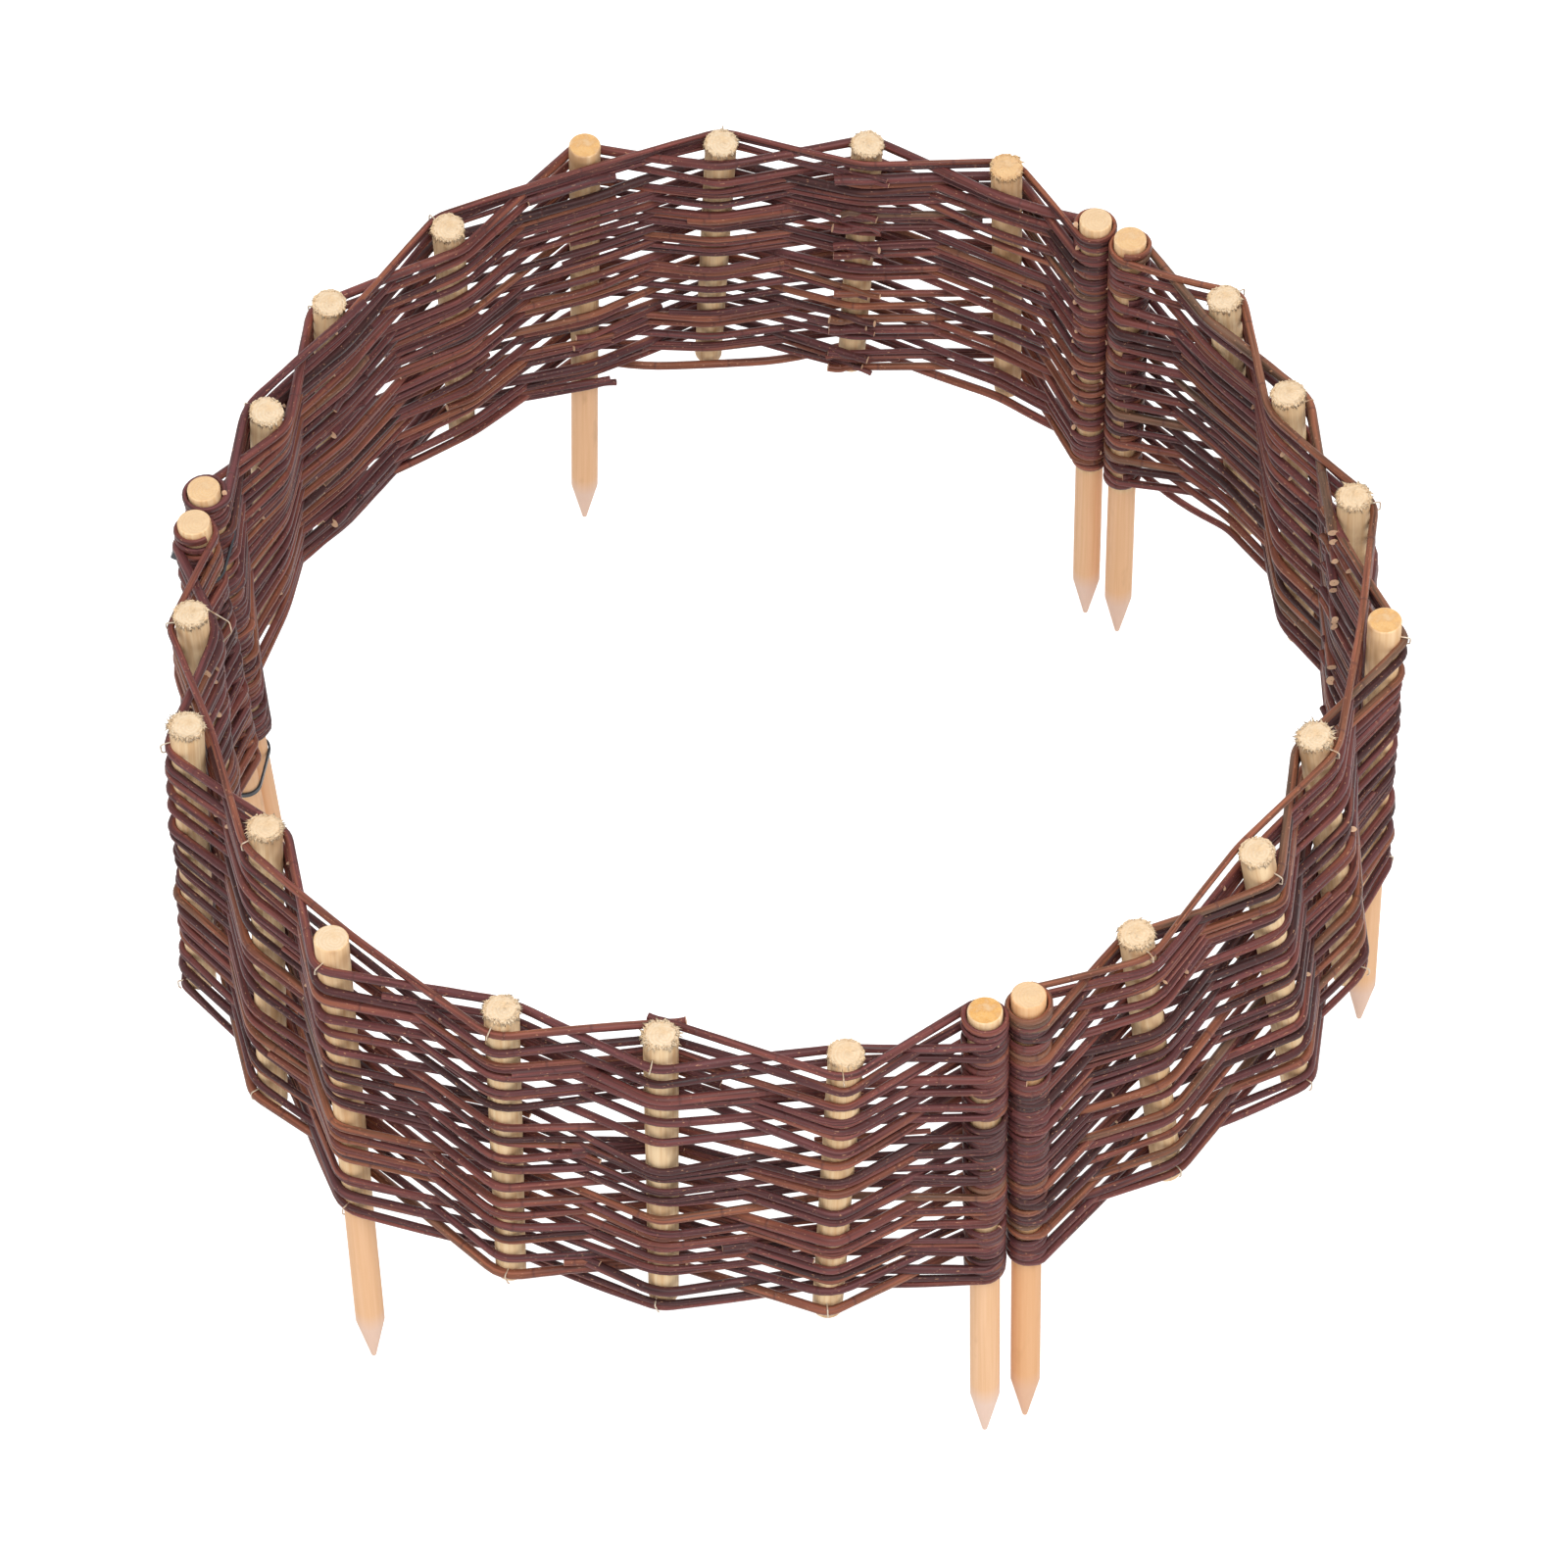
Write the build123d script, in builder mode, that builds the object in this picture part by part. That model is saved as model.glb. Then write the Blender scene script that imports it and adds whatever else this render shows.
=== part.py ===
"""Willow bed edging ring: three curved wattle panels that stand end to end in a ring.

Each panel is nine turned stakes with willow rods woven between them. The rods run out
and back in level courses, turn round the end stakes and are spliced end to end.
Millimetres, +Z up. The origin is on the floor, in the middle of the ring's plan box.
"""

from dataclasses import dataclass
from math import acos, atan2, cos, degrees, radians, sin, tan
import os

from build123d import *

os.makedirs("parts", exist_ok=True)

# Stakes: the three long ones of each panel are pointed, the six short ones end sawn off
stake_length = 340.0
short_stake_length = 204.0
stake_top_diameter = 17.2
leg_diameter = 15.2
leg_top = 130.0
tip_length = 32.0
tip_end_diameter = 2.6
top_chamfer = 0.8
long_stakes = (0, 4, 8)

# Willow rods and the weave
rod_diameter = 5.0
rod_sides = 5
courses = 34
course_pitch = 5.8
lowest_course_height = 140.0
strands = 9

# Clearances
rod_to_stake = 0.25
splice_gap = 0.4
tie_clearance = 0.3

# Cable ties, both at the left junction
tie_width = 2.6
tie_thickness = 1.1
tie_head_length = 6.5
tie_head_depth = 4.4
tie_head_width = 5.4
tie_head_fillet = 0.8
upper_tie_course = 28
upper_tie_crossing = 5.7
upper_tie_lift = 1.5
lower_tie_drop = 22.0

# Ring plan
ring_radius = 298.0

# How many times the rods' stand-offs are settled against their neighbours'
settling_rounds = 3


@dataclass(frozen=True)
class Place:
    """Where a stake stands.

    The bearing of its top is in degrees, and the swing is how far the top is outside (+)
    or inside (-) the ring's circle. A long stake's foot is foot_out further out and
    foot_along further anticlockwise than its top.
    """

    bearing: float
    swing: float
    foot_out: float = 0.0
    foot_along: float = 0.0


front_junction = Place(-69.5, -2, 21, -9)
right_junction = Place(49.5, -7, 10, 8)
left_junction = Place(169, -3, -4, -8)

right_panel_places = (
    Place(-55, -6, 19, 28),
    Place(-40, 1, 30, 38),
    Place(-25, -7, 40, 20),
    Place(-10, 12, 5, 1),
    Place(5.5, 1, 16, 6),
    Place(20.5, -9, 29, 0),
    Place(35, -1, 41, 3),
)
back_panel_places = (
    Place(63.5, 6, 39, 14),
    Place(78, 3, 40, 28),
    Place(93, 3, 56, 20),
    Place(106.5, 16, 34, 9),
    Place(123.5, -3, 60, -26),
    Place(139, 0, 46, -8),
    Place(154.5, -14, 54, -34),
)
left_panel_places = (
    Place(183, -6, 2, 0),
    Place(196.5, 6, 26, 4),
    Place(211, -5, 39, 14),
    Place(225.5, 13, 20, 9),
    Place(243, 2, 28, -2),
    Place(258, -5, 24, -8),
    Place(275, 5, 15, -24),
)

places = (
    (front_junction, *right_panel_places),
    (right_junction, *back_panel_places),
    (left_junction, *left_panel_places),
)

# Rods seat on a stake at this distance from its axis, over the stake's own radius.
rod_seat = rod_to_stake + rod_diameter / 2

# The end stakes of two panels stand one rod apart, with the turns of one panel's rods
# lying between the turns of the other's.
junction_spacing = stake_top_diameter + 2 * rod_seat


@dataclass(frozen=True)
class StakeAxis:
    """A stake's line: the plan points where it meets the floor and the tops' height."""

    foot: Vector
    top: Vector

    @property
    def direction(self):
        """The way from foot to top."""
        rise = self.top - self.foot + Vector(0, 0, stake_length)
        return rise.normalized()

    def at(self, height):
        """The plan point of the line at a height."""
        return self.foot + (self.top - self.foot) * (height / stake_length)


def stake_axis(place, middle=Vector(0, 0), shift=0.0):
    """The line of the stake at a place of a ring with its middle at a plan point.

    The line is moved by the shift, anticlockwise along the ring.
    """
    outward = Vector(cos(radians(place.bearing)), sin(radians(place.bearing)))
    onward = Vector(-outward.Y, outward.X)
    top = middle + outward * (ring_radius + place.swing) + onward * shift
    return StakeAxis(top + outward * place.foot_out + onward * place.foot_along, top)


def ring_middle():
    """Where the ring's circle is centred, for the plan box of the stakes to be centred."""
    ends = []
    for panel_places in places:
        for number, place in enumerate(panel_places):
            low = 0 if number in long_stakes else stake_length - short_stake_length
            ends += [stake_axis(place).at(low), stake_axis(place).at(stake_length)]
    across = [end.X for end in ends]
    along = [end.Y for end in ends]
    return Vector(-(min(across) + max(across)) / 2, -(min(along) + max(along)) / 2)


def stake_radius(height):
    """A stake's radius over its point: the leg is even, and it swells evenly to the top."""
    share = max(height - leg_top, 0) / (stake_length - leg_top)
    return (leg_diameter + (stake_top_diameter - leg_diameter) * share) / 2


def turned(vector, angle):
    """A plan vector turned anticlockwise by an angle in degrees."""
    return vector.rotate(Axis.Z, angle)


def bearing_of(vector):
    """The bearing of a plan vector, in degrees."""
    return degrees(atan2(vector.Y, vector.X))


class Panel:
    """One curved panel: its nine stake lines, in anticlockwise order, and its courses."""

    def __init__(self, name, panel_places, end, middle):
        start = panel_places[0]
        self.name = name
        self.axes = (
            [stake_axis(start, middle, junction_spacing / 2)]
            + [stake_axis(place, middle) for place in panel_places[1:]]
            + [stake_axis(end, middle, -junction_spacing / 2)]
        )
        self.last = len(self.axes) - 1
        self.end_bearings = {0: start.bearing - 90, self.last: end.bearing + 90}

    def course_height(self, course):
        """The height of a course's rod."""
        return lowest_course_height + course * course_pitch

    def side(self, course, stake):
        """+1 where a course passes outside a stake and -1 where it passes inside."""
        return 1 if (course + stake) % 2 == 0 else -1

    def outward(self, stake, height):
        """The way out of the ring, square to the line between a stake's neighbours."""
        before = self.axes[max(stake - 1, 0)].at(height)
        after = self.axes[min(stake + 1, self.last)].at(height)
        return turned(after - before, -90).normalized()

    def pass_points(self, course):
        """The corners of a course where it passes the stakes, in anticlockwise order.

        Each stands off far enough for the straight runs on both sides to clear the stake.
        """
        height = self.course_height(course)
        reach = stake_radius(height) + rod_seat
        here = [axis.at(height) for axis in self.axes]
        ways = [
            self.outward(stake, height) * self.side(course, stake)
            for stake in range(self.last + 1)
        ]
        stand_offs = [reach] * (self.last + 1)
        for _ in range(settling_rounds):
            points = [spot + way * off for spot, way, off in zip(here, ways, stand_offs)]
            for stake in range(1, self.last):
                for other in (stake - 1, stake + 1):
                    run = points[other] - points[stake]
                    swept = ways[stake].cross(points[other] - here[stake]).length
                    needed = reach * run.length / swept
                    stand_offs[stake] = max(stand_offs[stake], needed)
        points = [spot + way * off for spot, way, off in zip(here, ways, stand_offs)]
        return [Vector(point.X, point.Y, height) for point in points]

    def tangent_bearing(self, course, stake):
        """The bearing from an end stake's axis to where a course first touches its wrap."""
        height = self.course_height(course)
        neighbour = self.pass_points(course)[1 if stake == 0 else self.last - 1]
        run = Vector(neighbour.X, neighbour.Y) - self.axes[stake].at(height)
        reach = stake_radius(height) + rod_seat
        hand = self.side(course, stake) * (-1 if stake == 0 else 1)
        return bearing_of(run) + hand * degrees(acos(reach / run.length))

    def turn(self, course, stake):
        """The four corners of the half turn round an end stake, up to the next course.

        Its middle flat is level and faces the next panel, half way up to the course, so
        that it lies between two of that panel's turns.
        """
        height = self.course_height(course)
        reach = stake_radius(height) + rod_seat
        facing = self.end_bearings[stake]
        start = nearest(self.tangent_bearing(course, stake), facing)
        finish = nearest(self.tangent_bearing(course + 1, stake), facing)
        normals = [start, (start + facing) / 2, facing, (facing + finish) / 2, finish]
        corners = []
        for number, climb in enumerate((0, 0.5, 0.5, 1)):
            bearing = (normals[number] + normals[number + 1]) / 2
            opening = abs(normals[number + 1] - normals[number])
            corner_height = height + course_pitch * climb
            arm = turned(Vector(reach / cos(radians(opening / 2)), 0), bearing)
            corner = self.axes[stake].at(corner_height) + arm
            corners.append(Vector(corner.X, corner.Y, corner_height))
        return corners


def nearest(bearing, facing):
    """The same bearing, written within half a turn of the facing one."""
    return facing + (bearing - facing + 180) % 360 - 180


def long_rings():
    """The heights and radii of a long stake: its point, its leg and its softened top."""
    shoulder = stake_length - top_chamfer
    return [
        (0, tip_end_diameter / 2),
        (tip_length, stake_radius(tip_length)),
        (leg_top, stake_radius(leg_top)),
        (shoulder, stake_radius(shoulder)),
        (stake_length, stake_radius(shoulder) - top_chamfer),
    ]


def short_rings():
    """The heights and radii of a short stake: a long one sawn off square."""
    cut = stake_length - short_stake_length
    return [(cut, stake_radius(cut)), (stake_length, stake_radius(stake_length))]


def make_stake(label, axis, rings):
    """Turns a stake on its leaning line, straight from each ring of its outline to the next.

    A long stake's point stands on the floor.
    """
    direction = axis.direction
    lift = tip_end_diameter / 2 * (1 - direction.Z**2) ** 0.5
    base = axis.at(lift) + Vector(0, 0, lift)
    foot = Plane(origin=base, x_dir=direction.cross(Vector(0, 1, 0)), z_dir=direction)
    with BuildPart() as stake:
        for (low, low_radius), (high, high_radius) in zip(rings, rings[1:]):
            with BuildSketch(foot.offset(low)):
                Circle(low_radius)
            with BuildSketch(foot.offset(high)):
                Circle(high_radius)
            loft(ruled=True)
    stake.part.label = label
    export_step(stake.part, f"parts/{label}.step")


def strand_points(panel, first, end):
    """The corners of a rod strand that runs courses first to end - 1 of a panel.

    It starts and ends half way round an end stake, where it is spliced to the next.
    """
    points = []
    for course in range(first, end):
        onward = course % 2 == 0
        start_stake = 0 if onward else panel.last
        end_stake = panel.last - start_stake
        below = panel.turn(course - 1, start_stake)
        if course == first:
            points.append(spliced(below[2], below[1]))
        points += below[2:]
        passes = panel.pass_points(course)[1:-1]
        points += passes if onward else passes[::-1]
        above = panel.turn(course, end_stake)
        points += above[:2]
        if course == end - 1:
            points.append(spliced(above[1], above[2]))
    return points


def spliced(corner, next_corner):
    """Half way from a corner to the next, less half of the gap left at a splice."""
    run = next_corner - corner
    return corner + run.normalized() * ((run.length - splice_gap) / 2)


def make_strand(label, points):
    """Carries a rod's round section, drawn with a few sides, along its corners."""
    with BuildPart() as strand:
        with BuildLine() as route:
            Polyline(*points)
        start = points[0]
        with BuildSketch(Plane(origin=start, x_dir=(0, 0, 1), z_dir=points[1] - start)):
            RegularPolygon(rod_diameter / 2, rod_sides)
        sweep(path=route.wires()[0], transition=Transition.RIGHT)
    strand.part.label = label
    export_step(strand.part, f"parts/{label}.step")


def make_cable_tie(label, plane, inner_radius):
    """A cable tie pulled round two end stakes: a flat band in a long loop, and its head."""
    with BuildPart() as tie:
        with BuildSketch(plane):
            SlotCenterToCenter(junction_spacing, 2 * (inner_radius + tie_thickness))
            SlotCenterToCenter(junction_spacing, 2 * inner_radius, mode=Mode.SUBTRACT)
        extrude(amount=tie_width / 2, both=True)
        head_place = (junction_spacing / 2, -inner_radius - tie_head_depth / 2)
        with BuildSketch(plane):
            with Locations(head_place):
                RectangleRounded(tie_head_length, tie_head_depth, tie_head_fillet)
        extrude(amount=tie_head_width / 2, both=True)
    tie.part.label = label
    export_step(tie.part, f"parts/{label}.step")


def tie_plane(panel, height, tilt):
    """A plane across a panel's first stake and its neighbour, tilted up to the outside.

    Its X runs from the neighbour to the panel, and its Y runs into the ring.
    """
    facing = turned(Vector(1, 0), panel.end_bearings[0])
    middle = panel.axes[0].at(height) + facing * (junction_spacing / 2)
    upright = panel.axes[0].direction.rotate(Axis((0, 0, 0), facing), tilt)
    return Plane(Vector(middle.X, middle.Y, height), x_dir=-facing, z_dir=upright)


middle = ring_middle()
panels = (
    Panel("right", places[0], right_junction, middle),
    Panel("back", places[1], left_junction, middle),
    Panel("left", places[2], front_junction, middle),
)

for panel in panels:
    for number, axis in enumerate(panel.axes):
        rings = long_rings() if number in long_stakes else short_rings()
        make_stake(f"{panel.name}_stake_{number + 1}", axis, rings)
    for number in range(strands):
        first = round(number * courses / strands)
        end = round((number + 1) * courses / strands)
        make_strand(f"{panel.name}_rods_{number + 1}", strand_points(panel, first, end))

# The upper tie rises by half a course from the stakes' middle to where the rods cross it,
# so that it goes out of the weave between two outer rods and back in between two inner.
left_panel = panels[2]
upper_height = left_panel.course_height(upper_tie_course) + course_pitch / 2 + upper_tie_lift
upper_tilt = degrees(atan2(course_pitch / 2, upper_tie_crossing))
turn_reach = max(
    (Vector(corner.X, corner.Y) - left_panel.axes[0].at(corner.Z)).length
    for corner in left_panel.turn(upper_tie_course + 1, 0)
)
clear_of_rods = (turn_reach + rod_diameter / 2 + tie_clearance) / cos(radians(upper_tilt))
upper_radius = clear_of_rods + tie_width / 2 * tan(radians(upper_tilt))
make_cable_tie("upper_cable_tie", tie_plane(left_panel, upper_height, upper_tilt), upper_radius)

lower_height = lowest_course_height - lower_tie_drop
lower_radius = stake_radius(lower_height) + tie_clearance
make_cable_tie("lower_cable_tie", tie_plane(left_panel, lower_height, 0), lower_radius)
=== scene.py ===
"""Looks of the willow bed edging ring: bark rods, peeled stakes, cable ties and staples.

Three curved panels stand end to end in a ring. Their stakes and rods keep the lines that
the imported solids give, and get their round sections, turns, cut ends, wood and bark here.
Lengths are in metres, and +Z is up.
"""

import logging
from dataclasses import dataclass, field
from enum import Enum

import bpy
import numpy as np
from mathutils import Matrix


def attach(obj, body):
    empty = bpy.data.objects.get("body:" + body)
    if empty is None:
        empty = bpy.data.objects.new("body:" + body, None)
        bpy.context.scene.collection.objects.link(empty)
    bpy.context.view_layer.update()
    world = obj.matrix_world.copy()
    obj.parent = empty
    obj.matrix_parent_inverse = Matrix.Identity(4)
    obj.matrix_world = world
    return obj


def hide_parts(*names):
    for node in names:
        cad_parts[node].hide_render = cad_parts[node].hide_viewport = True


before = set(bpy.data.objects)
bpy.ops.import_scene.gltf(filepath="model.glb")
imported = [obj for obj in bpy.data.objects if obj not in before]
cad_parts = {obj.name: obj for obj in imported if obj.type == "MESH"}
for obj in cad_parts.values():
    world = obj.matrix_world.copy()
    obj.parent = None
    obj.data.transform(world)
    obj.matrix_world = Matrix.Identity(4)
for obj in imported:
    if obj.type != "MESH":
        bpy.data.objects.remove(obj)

LOG = logging.getLogger("willow_ring")
SPARE_COURSES = 3
MM = 0.001

Array = np.ndarray
Colour = tuple[float, float, float]
Span = tuple[float, float]
Triple = tuple[float, float, float]
UP = np.array([0.0, 0.0, 1.0])
AHEAD = np.array([0.0, 1.0, 0.0])
FLAT = (1.0, 1.0, 0.0)


class PanelSide(Enum):
    """The three panels, by the name that their nodes begin with."""

    RIGHT = "right"
    BACK = "back"
    LEFT = "left"


class RodTail(Enum):
    """What a rod does at the end of its run."""

    WOUND = "wound round the end stake"
    CUT = "cut off just past a stake"


def unit(vectors: Array) -> Array:
    """Vectors divided by their own lengths.

    Args:
        vectors: an array whose last axis holds the components.

    Returns:
        The unit vectors, in the same shape.
    """
    return vectors / np.linalg.norm(vectors, axis=-1, keepdims=True)


def plan_turn(vectors: Array, angle: float) -> Array:
    """Plan vectors turned anticlockwise: x cos - y sin, x sin + y cos.

    Args:
        vectors: plan vectors, components on the last axis.
        angle: the turn in radians.

    Returns:
        The turned vectors.
    """
    cos, sin = np.cos(angle), np.sin(angle)
    x, y = vectors[..., 0], vectors[..., 1]
    return np.stack([x * cos - y * sin, x * sin + y * cos], axis=-1)


def signed_power(values: Array, exponent: float) -> Array:
    """The values' sizes raised to a power, with their signs kept."""
    return np.sign(values) * np.abs(values) ** exponent


def ring_quads(rows: int, sides: int) -> Array:
    """The faces between closed rings of points that follow one another.

    A face joins the columns c and c + 1, counted round, of the rings r and r + 1.

    Args:
        rows: how many gaps there are between the rings.
        sides: how many points a ring has.

    Returns:
        (rows * sides, 4) indices.
    """
    row = np.arange(rows)[:, None] * sides
    column = np.arange(sides)[None, :]
    onward = (column + 1) % sides
    corners = [row + column, row + onward, row + sides + onward, row + sides + column]
    return np.stack(corners, axis=-1).reshape(-1, 4)


def fan_triangles(start: int, sides: int, middle: int) -> Array:
    """The triangles between a ring of points and the point in its middle.

    Args:
        start: the index of the ring's first point.
        sides: how many points the ring has.
        middle: the index of the middle point.

    Returns:
        (sides, 3) indices.
    """
    column = np.arange(sides)
    return np.stack([start + column, start + (column + 1) % sides, np.full(sides, middle)], axis=-1)


@dataclass
class MeshDraft:
    """Vertices, faces and point attributes of a piece while it is being made."""

    name: str
    points: list[Array] = field(default_factory=list)
    quads: list[Array] = field(default_factory=list)
    triangles: list[Array] = field(default_factory=list)
    quad_slots: list[Array] = field(default_factory=list)
    triangle_slots: list[Array] = field(default_factory=list)
    places: list[Array] = field(default_factory=list)
    tones: list[Array] = field(default_factory=list)
    total: int = 0

    def add(
        self,
        points: Array,
        places: Array,
        tones: Array,
        quads: Array | None = None,
        triangles: Array | None = None,
        slot: int = 0,
    ) -> None:
        """Adds one surface to the piece.

        Args:
            points: (n, 3) vertices.
            places: (n, 3) coordinates that the finish reads.
            tones: (n,) shade values from 0 to 1.
            quads: (q, 4) indices into these points.
            triangles: (t, 3) indices into these points.
            slot: the material slot of the faces.
        """
        if quads is not None and len(quads):
            self.quads.append(quads + self.total)
            self.quad_slots.append(np.full(len(quads), slot, np.int32))
        if triangles is not None and len(triangles):
            self.triangles.append(triangles + self.total)
            self.triangle_slots.append(np.full(len(triangles), slot, np.int32))
        self.points.append(points)
        self.places.append(places)
        self.tones.append(np.broadcast_to(tones, (len(points),)))
        self.total += len(points)

    def finish(self, materials: list[bpy.types.Material], smooth: bool = True) -> bpy.types.Object:
        """Makes the Blender object, at the origin, with its place in its mesh.

        Args:
            materials: one material for each slot number used.
            smooth: whether the faces are shaded smooth.

        Returns:
            The new object, linked to the scene.
        """
        points = np.concatenate(self.points)
        quads = np.concatenate(self.quads) if self.quads else np.zeros((0, 4), int)
        triangles = (
            np.concatenate(self.triangles) if self.triangles else np.zeros((0, 3), int)
        )
        mesh = bpy.data.meshes.new(self.name)
        mesh.vertices.add(len(points))
        mesh.vertices.foreach_set("co", points.astype(np.float32).ravel())
        corners = np.concatenate([quads.ravel(), triangles.ravel()]).astype(np.int32)
        counts = np.concatenate([np.full(len(quads), 4), np.full(len(triangles), 3)])
        starts = np.concatenate([[0], np.cumsum(counts)[:-1]]).astype(np.int32)
        mesh.loops.add(len(corners))
        mesh.loops.foreach_set("vertex_index", corners)
        mesh.polygons.add(len(counts))
        mesh.polygons.foreach_set("loop_start", starts)
        slots = np.concatenate(self.quad_slots + self.triangle_slots)
        mesh.polygons.foreach_set("material_index", slots.astype(np.int32))
        mesh.polygons.foreach_set("use_smooth", np.full(len(counts), smooth))
        place = mesh.attributes.new("place", "FLOAT_VECTOR", "POINT")
        place.data.foreach_set("vector", np.concatenate(self.places).astype(np.float32).ravel())
        tone = mesh.attributes.new("tone", "FLOAT", "POINT")
        tone.data.foreach_set("value", np.concatenate(self.tones).astype(np.float32))
        mesh.update(calc_edges=True)
        mesh.validate()
        for material in materials:
            mesh.materials.append(material)
        piece = bpy.data.objects.new(self.name, mesh)
        bpy.context.scene.collection.objects.link(piece)
        return piece


def tube(
    draft: MeshDraft,
    centres: Array,
    half_out: Array,
    half_up: Array,
    sides: int,
    tone: float,
    seed: float,
    cut_slot: int,
) -> None:
    """A rod: rings round a centre line, closed at both ends by sawn faces.

    Each ring is centre + half_out cos(a) side + half_up sin(a) up, where side is the
    level line square to the rod's run and up is square to both.

    Args:
        draft: the piece that gets the rod.
        centres: (n, 3) points of the centre line.
        half_out: (n,) half thickness across the wall.
        half_up: (n,) half thickness up the wall.
        sides: how many sides a ring has.
        tone: the rod's own shade.
        seed: moves the rod's bark pattern away from its neighbours'.
        cut_slot: the material slot of the sawn ends.
    """
    run = unit(np.gradient(centres, axis=0))
    side = unit(np.cross(run, UP))
    up = np.cross(side, run)
    angle = np.arange(sides) * 2 * np.pi / sides
    ring = (
        half_out[:, None, None] * np.cos(angle)[None, :, None] * side[:, None, :]
        + half_up[:, None, None] * np.sin(angle)[None, :, None] * up[:, None, :]
    )
    points = centres[:, None, :] + ring
    steps = np.linalg.norm(np.diff(centres, axis=0), axis=1)
    along = np.concatenate([[0.0], np.cumsum(steps)]) + seed
    round_place = np.stack([np.cos(angle), np.sin(angle)], axis=-1)
    places = np.concatenate(
        [
            np.broadcast_to(round_place, (len(centres), sides, 2)),
            np.broadcast_to(along[:, None, None], (len(centres), sides, 1)),
        ],
        axis=-1,
    )
    quads = ring_quads(len(centres) - 1, sides)[:, ::-1]
    draft.add(points.reshape(-1, 3), places.reshape(-1, 3), tone, quads=quads)
    fan = fan_triangles(0, sides, sides)
    face_places = np.full((sides + 1, 3), seed)
    face_places[:, :2] = np.concatenate([round_place, [[0.0, 0.0]]])
    for end, triangles in ((0, fan), (-1, fan[:, ::-1])):
        face = np.concatenate([points[end], points[end].mean(axis=0)[None, :]])
        draft.add(face, face_places, tone, triangles=triangles, slot=cut_slot)


def rounded_route(
    corners: Array, trims: Array, bend_steps: int, run_steps: int, most_trim: float = 0.48
) -> Array:
    """A smooth line through a bent route.

    Each corner becomes the quadratic curve (1-t)^2 a + 2t(1-t) corner + t^2 b between the
    points a and b that lie a trim length away from it, and the runs between are straight.

    Args:
        corners: (n, 3) corners, the two ends among them.
        trims: (n,) trim lengths, those of the ends unused.
        bend_steps: points on each bend.
        run_steps: points inside each straight run.
        most_trim: the largest trim, as a share of the shorter run beside a corner.

    Returns:
        (m, 3) points of the line.
    """
    runs = np.diff(corners, axis=0)
    lengths = np.linalg.norm(runs, axis=1)
    ways = runs / lengths[:, None]
    trims = trims.copy()
    trims[0] = trims[-1] = 0.0
    room = np.minimum(np.append(lengths, lengths[-1]), np.insert(lengths, 0, lengths[0])) * most_trim
    trims = np.minimum(trims, room)
    before = corners[1:-1] - ways[:-1] * trims[1:-1, None]
    after = corners[1:-1] + ways[1:] * trims[1:-1, None]
    t = np.linspace(0, 1, bend_steps)[None, :, None]
    bends = (1 - t) ** 2 * before[:, None] + 2 * t * (1 - t) * corners[1:-1, None]
    bends = bends + t**2 * after[:, None]
    starts = np.concatenate([corners[:1], after])
    ends = np.concatenate([before, corners[-1:]])
    share = (np.arange(1, run_steps + 1) / (run_steps + 1))[None, :, None]
    straight = starts[:, None] * (1 - share) + ends[:, None] * share
    pieces = [corners[:1]]
    for number in range(len(runs)):
        pieces.append(straight[number])
        if number < len(bends):
            pieces.append(bends[number])
    pieces.append(corners[-1:])
    return np.concatenate(pieces)


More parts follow.
